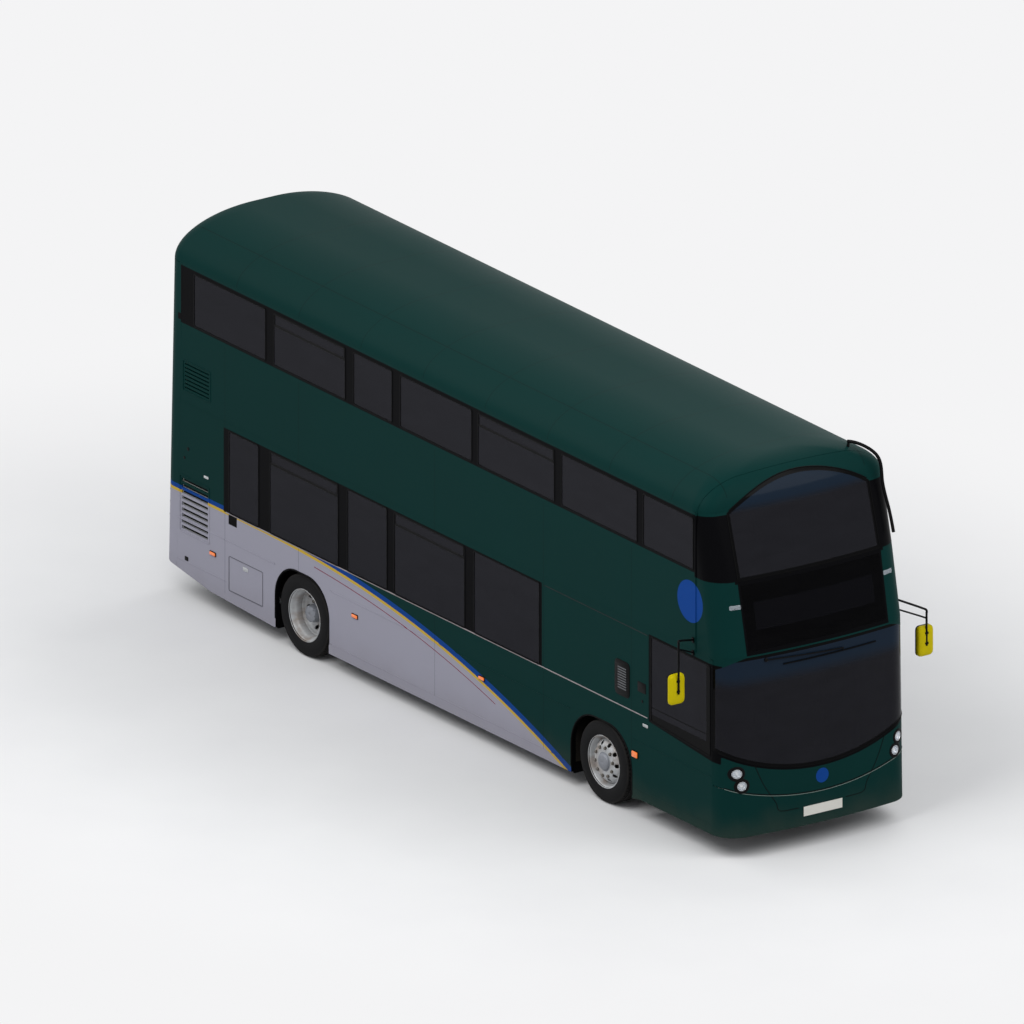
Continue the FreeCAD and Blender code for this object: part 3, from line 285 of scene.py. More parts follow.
def carried(path, profile, up, closed=False):
    """A closed profile carried along a path: point = path + a * side + b * lift for each (a, b) of it.

    The side is the tangent crossed with the up vector, and the lift is the side crossed with the tangent.
    """
    path, profile = np.asarray(path, float), np.asarray(profile, float)
    if closed:
        tangent = np.roll(path, -1, 0) - np.roll(path, 1, 0)
    else:
        tangent = np.gradient(path, axis=0)
    tangent = tangent / np.linalg.norm(tangent, axis=1, keepdims=True)
    side = np.cross(tangent, np.broadcast_to(up, path.shape))
    side = side / np.linalg.norm(side, axis=1, keepdims=True)
    lift = np.cross(side, tangent)
    points = path[:, None] + side[:, None] * profile[None, :, :1] + lift[:, None] * profile[None, :, 1:]
    return Shape().grid(points, round_rows=closed)


def strip(foot, low, top, high):
    """The section of a flat strip: half its width at its low level and at its high one."""
    return np.array([(-foot, low), (foot, low), (top, high), (-top, high)])


def tube(path, radius, sides=12, up=(0.02, 0.03, 1)):
    """A round bar along a path."""
    return carried(path, circle(radius, sides), up)


def smooth(points, steps=8):
    """A Catmull-Rom curve through points, in equal parameter steps."""
    knots = np.asarray(points, float)
    padded = np.concatenate([2 * knots[:1] - knots[1:2], knots, 2 * knots[-1:] - knots[-2:-1]])
    before, start, end, after = padded[:-3, None], padded[1:-2, None], padded[2:-1, None], padded[3:, None]
    t = np.linspace(0, 1, steps, endpoint=False)[None, :, None]
    curve = 0.5 * (2 * start + (end - before) * t + (2 * before - 5 * start + 4 * end - after) * t ** 2
                   + (3 * start - before - 3 * end + after) * t ** 3)
    return np.concatenate([curve.reshape(-1, knots.shape[1]), knots[-1:]])


AXES = {"x": (1, 2, 0), "y": (0, 2, 1)}


def lathe(profile, centre, axis="y", sides=48, hand=1):
    """A profile of (along, radius) turned about an axis through a centre; hand -1 faces it the other way."""
    profile = np.asarray(profile, float) * [hand, 1]
    angle = round_angles(sides)[:, None]
    across, up, along = AXES[axis]
    points = np.zeros((sides, len(profile), 3))
    points[..., across] = profile[None, :, 1] * np.cos(angle)
    points[..., up] = profile[None, :, 1] * np.sin(angle)
    points[..., along] = profile[None, :, 0]
    return Shape().grid(points + centre, round_rows=True, round_columns=False, ends=False)


def pad(half, puff=0.0, squareness=0.32, rows=17, columns=32):
    """A superellipsoid: x, y and z are half sizes times signed powers of cosines and sines.

    A puff lifts the middle of its top and bottom by puff * (1 - u^2)(1 - v^2).
    """
    up = np.linspace(-math.pi / 2, math.pi / 2, rows)[:, None]
    around = round_angles(columns)[None]

    def bent(wave):
        return np.sign(wave) * np.abs(wave) ** squareness

    x = bent(np.cos(up)) * bent(np.cos(around))
    y = bent(np.cos(up)) * bent(np.sin(around))
    z = bent(np.sin(up)) * np.ones_like(around)
    swell = np.clip((1 - x ** 2) * (1 - y ** 2), 0, 1) * puff * np.sign(z)
    return Shape().grid(np.stack([x * half[0], y * half[1], z * half[2] + swell], -1), ends=False)


def vertices(mesh):
    """A mesh's vertices as rows of x, y, z."""
    flat = np.zeros(len(mesh.vertices) * 3)
    mesh.vertices.foreach_get("co", flat)
    return flat.reshape(-1, 3)


def islands(node):
    """The box of each separate solid of a CAD node, as rows of low and high corners.

    Corners of faces that share a place get one number; every face then spreads the least number of its
    corners until nothing changes.
    """
    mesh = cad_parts[node].data
    mesh.calc_loop_triangles()
    faces = np.zeros(len(mesh.loop_triangles) * 3, int)
    mesh.loop_triangles.foreach_get("vertices", faces)
    keys, same = np.unique(np.round(vertices(mesh), 5), axis=0, return_inverse=True)
    faces = same.reshape(-1)[faces].reshape(-1, 3)
    label = np.arange(len(keys))
    while True:
        least = label[faces].min(1)
        spread = label.copy()
        np.minimum.at(spread, faces.reshape(-1), np.repeat(least, 3))
        spread = spread[spread]
        if np.array_equal(spread, label):
            break
        label = spread
    found = [keys[label == number] for number in np.unique(label[faces])]
    return np.array([(group.min(0), group.max(0)) for group in found])


# ------------------------------------------------------------------ the body's own surface

HALF_WIDE = 1.26
OUT = HALF_WIDE + 0.0008
NOSE = 5.43
TAIL = -5.545
BOW = 8.0
CANTRAIL = 3.95
DOME_RISE = 0.435
DOME_SIDE = 0.98
DOME_FRONT = 0.52
REAR_LEAN, REAR_FOOT, REAR_TALL = 0.115, 0.19, 3.76

# Arcs across the front: half their span, their height at its ends and their height on the middle line.
SCREEN_SILL = (1.3, 1.28, 0.95)
UPPER_ARCH = (0.96, 3.94, 4.24)
CREASE = (1.4, 0.90, 0.62)


def drawn_in(level):
    """The share by which the dome has drawn in at a height: 1 - cos a, with sin a its share of the rise."""
    return 1 - np.sqrt(1 - np.clip((level - CANTRAIL) / DOME_RISE, 0, 1) ** 2)


def nose_at(level):
    """How far the front reaches at a height: straight between four levels, then a quarter ellipse."""
    lean = np.interp(level, [0.04, 2.37, 3.2, CANTRAIL], [0, 0.045, 0.215, 0.44])
    return NOSE - lean - DOME_FRONT * drawn_in(level)


def side_at(level):
    """Half the width at a height: upright, then a quarter ellipse over the cantrail."""
    return HALF_WIDE - DOME_SIDE * drawn_in(level)


def on_front(across, level, out=0.0):
    """Points on the bowed front, moved outwards: an 8 m arc in plan with a smaller arc at each corner."""
    across, level = np.broadcast_arrays(np.asarray(across, float), np.asarray(level, float))
    corner = np.interp(level, [3.2, CANTRAIL], [0.3, 0.24])
    centre = nose_at(level) - BOW
    corner_y = side_at(level) - corner
    corner_x = centre + np.sqrt((BOW - corner) ** 2 - corner_y ** 2)
    turn = np.arctan2(corner_y, corner_x - centre)
    flat = np.abs(across) <= BOW * np.sin(turn)
    angle = np.where(flat, np.arcsin(np.clip(across / BOW, -1, 1)),
                     np.sign(across) * np.arcsin(np.clip((np.abs(across) - corner_y) / corner, -1, 1)))
    x = np.where(flat, centre + BOW * np.cos(angle), corner_x + corner * np.cos(angle)) + out * np.cos(angle)
    return np.stack([x, across + out * np.sin(angle), level], -1)


def rear_at(level, foot=TAIL):
    """The rear face leans forward evenly up to the cantrail."""
    return foot + REAR_LEAN * (level - REAR_FOOT) / REAR_TALL


def arc_circle(end, side_high, middle_high):
    """Radius, below zero where the arc sags, and centre height of the circle through an arc's points."""
    sag = middle_high - side_high
    radius = (end ** 2 + sag ** 2) / (2 * sag)
    return radius, middle_high - radius


def arc_high(across, arc):
    """Height of an arc of the front at a distance across."""
    radius, centre = arc_circle(*arc)
    return centre + np.sign(radius) * np.sqrt(radius ** 2 - across ** 2)


# ------------------------------------------------------------------ materials

class Value:
    """A shader socket with arithmetic: each operator adds one Math node."""

    def __init__(self, nodes, link):
        self.nodes = nodes
        self.link = link

    def maths(self, operation, *terms):
        return self.nodes.node("ShaderNodeMath", {"operation": operation}, dict(enumerate(terms)))

    def __neg__(self):
        return self.maths("MULTIPLY", self, -1.0)

    def between(self, low, high):
        return self.above(low) * self.below(high)


def add_operator(word, operation, turned=False):
    """Give Value a method that adds a Math node, with its terms turned round in a reflected form."""
    def method(self, *others):
        terms = (*others, self) if turned else (self, *others)
        return self.maths(operation, *terms)
    setattr(Value, word, method)


for word, operation in (("add", "ADD"), ("sub", "SUBTRACT"), ("mul", "MULTIPLY")):
    add_operator(f"__{word}__", operation)
    add_operator(f"__r{word}__", operation, True)
for word, operation in (("__truediv__", "DIVIDE"), ("__pow__", "POWER"), ("__abs__", "ABSOLUTE"),
                        ("above", "GREATER_THAN"), ("below", "LESS_THAN"), ("least", "MINIMUM"),
                        ("most", "MAXIMUM"), ("root", "SQRT"), ("sine", "SINE"),
                        ("repeat", "FLOORED_MODULO")):
    add_operator(word, operation)


class Nodes:
    """A node tree that is written as expressions."""

    def __init__(self, tree):
        self.tree = tree

    def node(self, kind, settings=None, inputs=None, output=0):
        """A node of a type: its settings first, then its sockets' values or links."""
        made = self.tree.nodes.new(kind)
        for word, setting in (settings or {}).items():
            setattr(made, word, setting)
        for socket, given in (inputs or {}).items():
            if isinstance(given, Value):
                self.tree.links.new(given.link, made.inputs[socket])
            else:
                made.inputs[socket].default_value = given
        return Value(self, made.outputs[output])

    def seen(self):
        """One for the rays that a camera, a gloss or a clear surface sends out."""
        rays = self.node("ShaderNodeLightPath").link.node.outputs
        camera, glossy, through = [Value(self, rays[f"Is {word} Ray"])
                                   for word in ("Camera", "Glossy", "Transmission")]
        return (camera + glossy + through).least(1.0)

    def show(self, output, share, first, second):
        """Two shaders mixed by a share, led to an output node."""
        mixed = self.node("ShaderNodeMixShader", inputs={0: share, 1: first, 2: second})
        self.tree.links.new(mixed.link, self.tree.nodes[output].inputs["Surface"])


class Paint(Nodes):
    """A material as it is written: a Principled shader and the nodes that feed it."""

    def __init__(self, name, colour=(0.5, 0.5, 0.5), **sockets):
        self.material = bpy.data.materials.new(name)
        self.material.use_nodes = True
        super().__init__(self.material.node_tree)
        self.shader = self.tree.nodes["Principled BSDF"]
        self.shader.inputs["Base Color"].default_value = (*colour, 1)
        for socket, number in sockets.items():
            self.shader.inputs[socket.replace("_", " ").title().replace("Ior", "IOR")].default_value = number
        self.spot = self.node("ShaderNodeTexCoord", output=3)
        self.place = self.split(self.spot)

    def feed(self, **sockets):
        """Link values to the shader's sockets."""
        for socket, given in sockets.items():
            self.tree.links.new(given.link, self.shader.inputs[socket.replace("_", " ").title()])

    def split(self, vector):
        """The three parts of a vector."""
        made = self.node("ShaderNodeSeparateXYZ", inputs={0: vector}).link.node
        return [Value(self, made.outputs[index]) for index in range(3)]

    def noise(self, scale, detail=3.0, stretch=None):
        """Smooth noise from 0 to 1 over the frame, or over it stretched by three numbers."""
        spot = self.spot
        if stretch:
            spot = self.node("ShaderNodeVectorMath", {"operation": "MULTIPLY"}, {0: spot, 1: stretch})
        return self.node("ShaderNodeTexNoise", inputs={"Vector": spot, "Scale": scale, "Detail": detail,
                                                       "Roughness": 0.5})

    def cells(self, scale, output):
        """Distance (0) or a colour (1) for each cell of a Voronoi pattern."""
        return self.node("ShaderNodeTexVoronoi", {"feature": "F1"}, {"Vector": self.spot, "Scale": scale},
                         output)

    def blend(self, share, first, second):
        """Two colours mixed by a share."""
        first, second = [item if isinstance(item, Value) else (*item, 1) for item in (first, second)]
        return self.node("ShaderNodeMix", {"data_type": "RGBA", "clamp_factor": True},
                         {0: share, 6: first, 7: second}, output=2)

    def soft(self, value, low, high):
        """A step from 0 to 1 between two levels, with rounded ends."""
        return self.node("ShaderNodeMapRange", {"interpolation_type": "SMOOTHSTEP"},
                         {"Value": value, "From Min": low, "From Max": high})

    def bump(self, height, strength=0.3, distance=0.002):
        """Surface relief from a height."""
        self.feed(normal=self.node("ShaderNodeBump", inputs={
            "Strength": strength, "Distance": distance, "Height": height}))


def worked(name, colour, grain, change, rough, rough_change, relief, depth, dust=0.0, **sockets):
    """A general finish: colour and gloss vary with two noises, fine relief, and dust low on the bus."""
    paint = Paint(name, colour, **sockets)
    z = paint.place[2]
    fine, broad = paint.noise(grain, 4.0), paint.noise(grain / 14, 2.0)
    light = tuple(min(1.0, part * (1 + change) + 0.002) for part in colour)
    shade = paint.blend(fine * 0.5 + broad * 0.5, scaled(colour, 1 - change), light)
    if dust:
        low = paint.soft(0.9 - z + (broad - 0.5) * 0.5, 0.0, 0.9) * dust
        shade = paint.blend(low * (0.5 + fine * 0.6), shade, tint(92, 84, 72))
    paint.feed(base_color=shade, roughness=rough + (broad - 0.5) * (2 * rough_change))
    paint.bump(fine, relief, depth)


def most_of(values):
    """The greatest of several values."""
    first, *others = values
    for value in others:
        first = first.most(value)
    return first


def seam_lines(value, places, half):
    """One where a value lies within half a joint of one of the places."""
    return most_of([abs(value - place).below(half) for place in places])


def from_arc(y, z, arc):
    """Squared distance of (y, z) from the centre of an arc's circle, with the circle's radius."""
    radius, centre = arc_circle(*arc)
    up = z - centre
    return y * y + up * up, abs(radius)


PANEL_JOINTS = (-4.32, -2.9, -0.27, 1.83, 3.53)
ROOF_JOINTS = (-4.1, -2.9, -1.7, -0.5, 0.7, 1.9, 3.1, 4.3)
DECK_JOINT = 2.236
DISC_ALONG, DISC_HIGH, DISC_RADIUS = 4.66, 2.885, 0.245
BADGE_HIGH, BADGE_RADIUS = 0.80, 0.085
LOWER_PANES = (1.262, 2.252)
UPPER_PANES = (3.248, 3.925)
CAB_HEAD = 2.4


def coachwork(settings):
    """The bus's paint: green, a pale skirt under a sweep of blue and gold, black round the glass.

    The sweep's height is sweep_high - fall * (x - start) ** power, level behind its start.
    """
    paint = Paint("coachwork", settings.body, specular_ior_level=0.02)
    x, y, z = paint.place
    face_x, face_y, face_z = paint.split(paint.node("ShaderNodeTexCoord", output=1))
    side = abs(y).above(1.14)
    broad, fine = paint.noise(0.9, 2.0), paint.noise(420.0, 2.0)
    shade = paint.blend(broad, scaled(settings.body, 0.94), scaled(settings.body, 1.06))
    run = (x - settings.sweep_start).most(0.0)
    slope = run ** (settings.sweep_power - 1) * (settings.sweep_fall * settings.sweep_power)
    above = (z - settings.sweep_high + run ** settings.sweep_power * settings.sweep_fall) / (
        (slope * slope + 1.0).root())
    behind = x.below(2.6)
    half_gold = settings.gold_wide / 2
    blue_wide = run * 0.003 + settings.blue_wide
    pale = paint.blend(broad, scaled(settings.skirt, 0.96), settings.skirt)
    disc_x, disc_z, badge_z = x - DISC_ALONG, z - DISC_HIGH, z - BADGE_HIGH
    disc = (disc_x * disc_x + disc_z * disc_z).below(DISC_RADIUS ** 2) * side
    badge = (y * y + badge_z * badge_z).below(BADGE_RADIUS ** 2) * x.above(5.0)
    for share, colour in ((above.below(0.0) * behind, pale),
                          (above.between(-0.106, -0.096) * x.between(-2.6, 0.9), settings.maroon),
                          (above.above(half_gold) * (above - blue_wide).below(half_gold) * behind,
                           settings.blue),
                          (above.between(-half_gold, half_gold) * behind, settings.gold),
                          (disc.most(badge), settings.blue)):
        shade = paint.blend(share, shade, colour)
    black = window_surround(x, y, z, side)
    shade = paint.blend(black, shade, tint(7, 7, 9))
    joints = most_of([seam_lines(x, PANEL_JOINTS, 0.0022) * side * z.between(0.3, 3.2) * (1 - black),
                      seam_lines(z, (DECK_JOINT,), 0.0025) * side * x.between(1.83, 3.88),
                      seam_lines(x, ROOF_JOINTS, 0.003) * z.above(3.97),
                      seam_lines(y, (-0.93, 0.93), 0.003) * z.above(4.0) * x.below(4.9)])
    shade = paint.blend(joints * 0.75, shade, tint(8, 10, 10))
    grime = paint.soft(0.62 - z + (paint.noise(3.0, 4.0) - 0.5) * 0.35, 0.0, 0.5)
    shade = paint.blend(grime * 0.16, shade, tint(96, 88, 76))
    inward = (face_y * y).below(-0.55) + (face_x * x).below(-2.6) + (face_z * (z - 2.2)).below(-0.6)
    inside = (inward * abs(y).below(1.24) * x.below(5.34)).above(0.5)
    lining = paint.blend(paint.noise(160.0), settings.lining, tint(150, 152, 149))
    shade = paint.blend(inside, shade, lining)
    wells = x.between(2.3, 3.6).most(x.between(-3.4, -2.25)) * z.below(0.99)
    edge = wells * abs(face_y).below(0.5) * abs(y).between(1.19, 1.262)
    paint.feed(base_color=paint.blend(edge, shade, tint(7, 7, 8)),
               roughness=0.45 + grime * 0.25 + inside * 0.2 + (broad - 0.5) * 0.08 - black * 0.1)
    wave = paint.noise(2.3, 1.0)
    paint.bump(wave * 0.6 + fine * 0.02 - joints * 0.8 + inside * fine * 0.2, 0.25, 0.0022)


def window_surround(x, y, z, side):
    """Black between and round the panes, at both decks, and over the front round both screens."""
    lower, front = z.between(*LOWER_PANES), x.above(4.99)
    cab_low = 1.232 - (x - 3.87) * 0.092
    under_arch, arch_radius = from_arc(y, z, UPPER_ARCH)
    on_sill, sill_radius = from_arc(y, z, SCREEN_SILL)
    return most_of([
        side * lower * x.between(-4.345, 1.80),
        side * y.above(0.0) * lower * x.between(1.86, 3.66),
        side * y.below(0.0) * x.between(3.862, 5.2) * (z - cab_low).above(0.0) * z.below(2.262),
        side * z.between(*UPPER_PANES) * x.above(-5.17),
        side * x.between(-5.225, -5.1) * z.between(3.275, 3.35),
        side * x.between(-4.25, -4.09) * z.between(1.14, 1.30),
        x.above(4.745) * z.between(3.2, 3.925),
        front * z.between(3.17, 4.3) * under_arch.below((arch_radius + 0.03) ** 2) * abs(y).below(1.0),
        front * z.between(2.37, 3.2) * (abs(y) - (z - 2.4) * 0.012).below(0.958),
        x.above(5.0) * on_sill.between((sill_radius - 0.02) ** 2, (sill_radius + 0.034) ** 2) * z.below(1.4),
        x.above(4.93) * abs(y).above(1.1) * z.between(1.19, 2.17)])


def glazing(name, colour, alpha, detail=None, gloss=0.04):
    """Tinted glass with faint wipe marks; a detail function puts in its black lines and bands by place."""
    paint = Paint(name, colour, specular_ior_level=gloss)
    smear = paint.noise(2.2, 5.0, stretch=(1.0, 1.0, 4.0))
    shade = paint.blend(smear, colour, tuple(part * 1.35 + 0.001 for part in colour))
    cover = alpha + (smear - 0.5) * 0.04
    if detail:
        shade, cover = detail(paint, *paint.place, shade, cover)
    paint.feed(base_color=shade, alpha=cover, roughness=0.10 + smear * 0.08)
    paint.material.surface_render_method = "DITHERED"


def side_tint(paint, x, y, z, shade, cover):
    """The driver's pane is black along its front edge and its foot, with a dark line above the foot."""
    lower = z.below(CAB_HEAD)
    cab = x.above(3.88) * y.below(0.0) * lower
    edge = most_of([x.above(4.975) * lower, cab * z.below(1.33), cab * z.between(1.405, 1.42)])
    return paint.blend(edge, shade, tint(5, 5, 6)), (cover + edge).least(1.0)


def screen_tint(paint, x, y, z, shade, cover):
    """A darker blue band along the head of both screens and a black line along the sill and sides."""
    on_sill, sill_radius = from_arc(y, z, SCREEN_SILL)
    under_arch, arch_radius = from_arc(y, z, UPPER_ARCH)
    edge = most_of([on_sill.root().above(sill_radius - 0.032) * z.below(1.6),
                    z.between(2.315, 2.5),
                    z.between(3.1, 3.235),
                    under_arch.root().above(arch_radius - 0.035) * z.above(3.5),
                    z.above(3.1) * abs(y).above(0.925),
                    x.below(5.125) * z.below(CAB_HEAD)])
    head = (paint.soft(z, 1.97, 2.16) * z.below(2.5)).most(paint.soft(z, 3.90, 4.02) * z.above(3.4))
    shade = paint.blend(edge, paint.blend(head, shade, tint(22, 33, 46)), tint(5, 5, 6))
    return shade, (cover + head * 0.1 + edge).least(1.0)


def sign_tint(paint, x, y, z, shade, cover):
    """A slightly paler oblong window before the blank display."""
    window = abs(y).below(0.80) * z.between(2.635, 2.945)
    return paint.blend(window, shade, tint(13, 13, 16)), cover - window * 0.06


def tyre_rubber():
    """Dark rubber, greyer on the walls, with fine rings round each wheel's own middle."""
    paint = Paint("tyre_rubber", tint(20, 20, 21), specular_ior_level=0.08)
    x, _, z = paint.place
    front, rear = wheel_middle("front_left_tyre"), wheel_middle("rear_left_tyres")
    middle_x = x.above(0.0) * (front[0] - rear[0]) + float(rear[0])
    from_x, from_z = x - middle_x, z - float(front[2])
    far = (from_x * from_x + from_z * from_z).root()
    rings = (far * 900.0).sine() * far.between(0.31, 0.44)
    grit, worn = paint.noise(240.0, 4.0), paint.noise(9.0, 4.0)
    shade = paint.blend(grit * 0.4 + worn * 0.6, tint(14, 14, 15), tint(28, 28, 29))
    shade = paint.blend(far.above(0.452) * worn * 0.7, shade, tint(46, 44, 42))
    paint.feed(base_color=shade, roughness=0.72 + (worn - 0.5) * 0.2)
    paint.bump(rings * 0.25 + grit * 0.4, 0.3, 0.0012)


def wheel_paint(settings):
    """Pale wheel paint with brown brake dust towards the rim's well."""
    paint = Paint("wheel_paint", settings.disc, coat_weight=0.15, metallic=0.25)
    grit, stain = paint.noise(130.0, 4.0), paint.noise(7.0, 5.0, stretch=(1.0, 0.4, 1.0))
    shade = paint.blend(grit, scaled(settings.disc, 0.8), settings.disc)
    shade = paint.blend(paint.soft(stain, 0.40, 0.70) * 0.7, shade, tint(116, 96, 78))
    paint.feed(base_color=shade, roughness=0.42 + stain * 0.25)
    paint.bump(grit, 0.15, 0.0006)


def seat_cloth(settings):
    """Moquette: short upright pile in a small check of flecks on a dark ground."""
    paint = Paint("seat_cloth", settings.cloth, roughness=0.95, sheen_weight=0.35)
    x, y, z = paint.place
    up = z + x * 0.35
    fleck = (y * 22.0).repeat(1.0).below(0.34) * (up * 22.0).repeat(1.0).below(0.16)
    dash = (y * 22.0 + 0.5).repeat(1.0).below(0.16) * (up * 22.0 + 0.5).repeat(1.0).below(0.40)
    pile = paint.noise(900.0, 2.0)
    shade = paint.blend(pile, scaled(settings.cloth, 0.75), scaled(settings.cloth, 1.3))
    for share, colour in ((fleck, settings.fleck), (dash, tint(120, 32, 40)),
                          (paint.noise(6.0) * 0.25, tint(90, 92, 94))):
        shade = paint.blend(share, shade, colour)
    paint.feed(base_color=shade)
    paint.bump(pile, 0.6, 0.0015)


def floor_cover():
    """Grey safety flooring with pale and dark grains."""
    paint = Paint("floor_cover", tint(74, 78, 84), roughness=0.7)
    grain = paint.split(paint.cells(160.0, 1))[0]
    scuff = paint.noise(4.0, 4.0)
    shade = paint.blend(grain.above(0.86), tint(70, 74, 80), tint(150, 152, 156))
    shade = paint.blend(grain.below(0.12), shade, tint(32, 34, 38))
    paint.feed(base_color=paint.blend(scuff * 0.3, shade, tint(96, 92, 86)), roughness=0.6 + scuff * 0.2)
    paint.bump(grain, 0.2, 0.0008)


def lens(name, colour, glow, pitch=90.0, across=1):
    """A moulded lens: small crossed ribs under a smooth face, with a faint inner light."""
    paint = Paint(name, colour, roughness=0.12, coat_weight=0.6, coat_roughness=0.03,
                  emission_strength=glow)
    ribs = (paint.place[across] * (pitch * 6)).sine() * (paint.place[2] * (pitch * 6)).sine()
    cloud = paint.noise(30.0)
    shade = paint.blend(ribs * 0.5 + 0.5, scaled(colour, 0.55), colour)
    shade = paint.blend(cloud * 0.25, shade, tuple(min(1, part * 1.5 + 0.03) for part in colour))
    paint.feed(base_color=shade, emission_color=shade, roughness=0.10 + cloud * 0.08)
    paint.bump(ribs, 0.4, 0.001)


def plate_face(colour):
    """A blank reflective plate: fine glass beads under a cloud of dirt."""
    paint = Paint("plate_face", colour, roughness=0.35, coat_weight=0.3)
    cloud = paint.noise(12.0, 4.0)
    paint.feed(base_color=paint.blend(cloud * 0.35, colour, scaled(colour, 0.8)),
               roughness=0.3 + cloud * 0.2)
    paint.bump(paint.cells(700.0, 0), 0.15, 0.0004)


def lamp_metals():
    """The fluted reflector of a lamp, and the silvering of a mirror with a film on it."""
    reflector = Paint("reflector", tint(196, 200, 206), metallic=1.0)
    flutes = (reflector.place[1] * 520.0).sine() * 0.5 + 0.5
    reflector.feed(roughness=0.14 + flutes * 0.10)
    reflector.bump(flutes, 0.3, 0.0015)
    silver = Paint("mirror_glass", tint(150, 156, 162), metallic=1.0)
    film = silver.noise(14.0, 4.0)
    silver.feed(base_color=silver.blend(film, tint(140, 146, 152), tint(168, 172, 176)),
                roughness=0.03 + film * 0.05)


# Name: display colour, grain, change of colour, roughness and its change, relief, its depth, dust; sockets.
PLAIN = {
    "trim": (8, 8, 9, 110, 0.2, 0.40, 0.12, 0.15, 0.0006, 0, {"specular_ior_level": 0.05}),
    "pale_trim": (132, 124, 126, 70, 0.12, 0.4, 0.12, 0.15, 0.0006, 0, {}),
    "dark_bead": (5, 16, 16, 70, 0.2, 0.4, 0.12, 0.15, 0.0006, 0, {"specular_ior_level": 0.12}),
    "crease_grey": (104, 118, 112, 70, 0.15, 0.4, 0.12, 0.15, 0.0006, 0, {"specular_ior_level": 0.2}),
    "lamp_cover": (226, 228, 222, 120, 0.05, 0.4, 0.1, 0.1, 0.0005, 0, {}),
    "arch_liner": (13, 13, 14, 60, 0.3, 0.8, 0.12, 0.5, 0.0015, 0.25, {"specular_ior_level": 0.05}),
    "seal_grey": (92, 92, 100, 120, 0.15, 0.5, 0.12, 0.2, 0.0006, 0, {"specular_ior_level": 0.2}),
    "bright_metal": (186, 188, 190, 140, 0.10, 0.24, 0.10, 0.12, 0.0004, 0, {"metallic": 1.0}),
    "hub_metal": (130, 134, 142, 90, 0.30, 0.50, 0.16, 0.3, 0.0010, 0.35, {"metallic": 0.5}),
    "nut_metal": (108, 104, 98, 160, 0.30, 0.42, 0.14, 0.2, 0.0006, 0, {"metallic": 0.8}),
    "cast": (58, 52, 47, 90, 0.30, 0.75, 0.12, 0.6, 0.0020, 0.2, {}),
    "chassis_black": (38, 38, 40, 50, 0.30, 0.62, 0.15, 0.3, 0.0012, 0.55, {}),
    "engine_cast": (92, 96, 98, 45, 0.30, 0.60, 0.15, 0.5, 0.0025, 0.2, {"metallic": 0.4}),
    "air_bellows": (22, 22, 23, 60, 0.25, 0.75, 0.12, 0.4, 0.0015, 0.5, {}),
    "rail_paint": (222, 178, 30, 130, 0.08, 0.34, 0.10, 0.12, 0.0004, 0, {"coat_weight": 0.3}),
    "cab_plastic": (52, 54, 58, 210, 0.14, 0.66, 0.10, 0.4, 0.0008, 0, {}),
    "saloon_panel": (160, 164, 162, 150, 0.06, 0.52, 0.10, 0.2, 0.0006, 0, {}),
    "seat_shell": (58, 62, 70, 190, 0.12, 0.55, 0.10, 0.3, 0.0006, 0, {}),
    "vent_grey": (64, 66, 70, 90, 0.15, 0.5, 0.12, 0.2, 0.0008, 0, {}),
    "grille_dark": (7, 8, 9, 240, 0.4, 0.8, 0.10, 0.7, 0.002, 0, {"specular_ior_level": 0.15}),
    "display_face": (18, 18, 21, 260, 0.25, 0.5, 0.10, 0.3, 0.0006, 0, {"specular_ior_level": 0.15}),
    "wheel_grip": (28, 28, 30, 260, 0.2, 0.5, 0.12, 0.4, 0.0007, 0, {}),
    "tank_metal": (96, 98, 100, 70, 0.2, 0.42, 0.15, 0.25, 0.0010, 0.5, {"metallic": 0.8}),
    "exhaust_metal": (110, 88, 66, 60, 0.35, 0.62, 0.15, 0.4, 0.0015, 0.3, {"metallic": 0.7}),
}


def make_finishes(paint, trim, wheels, seats):
    """Every material the pieces and the CAD nodes use."""
    coachwork(paint)
    glazing("side_glass", tint(25, 25, 30), 0.94, side_tint)
    glazing("door_glass", tint(16, 16, 19), 0.86)
    glazing("screen_glass", tint(24, 24, 28), 0.94, screen_tint)
    glazing("sign_glass", tint(4, 4, 5), 0.98, sign_tint, 0.015)
    glazing("lamp_lens", tint(196, 202, 210), 0.34, gloss=0.3)
    tyre_rubber()
    wheel_paint(wheels)
    seat_cloth(seats)
    floor_cover()
    lens("red_lens", trim.red, 0.25)
    lens("amber_lens", trim.amber, 0.35, 70.0, 0)
    lens("bulb_glass", tint(230, 226, 214), 0.4, 140.0)
    plate_face(tint(206, 204, 196))
    lamp_metals()
    worked("soft_rubber", trim.rubber, 110, 0.25, 0.44, 0.10, 0.12, 0.0005, specular_ior_level=0.03)
    worked("mirror_shell", trim.mirror, 120, 0.10, 0.38, 0.10, 0.15, 0.0005, specular_ior_level=0.04)
    for name, (red, green, blue, *numbers, sockets) in PLAIN.items():
        worked(name, tint(red, green, blue), *numbers, **sockets)


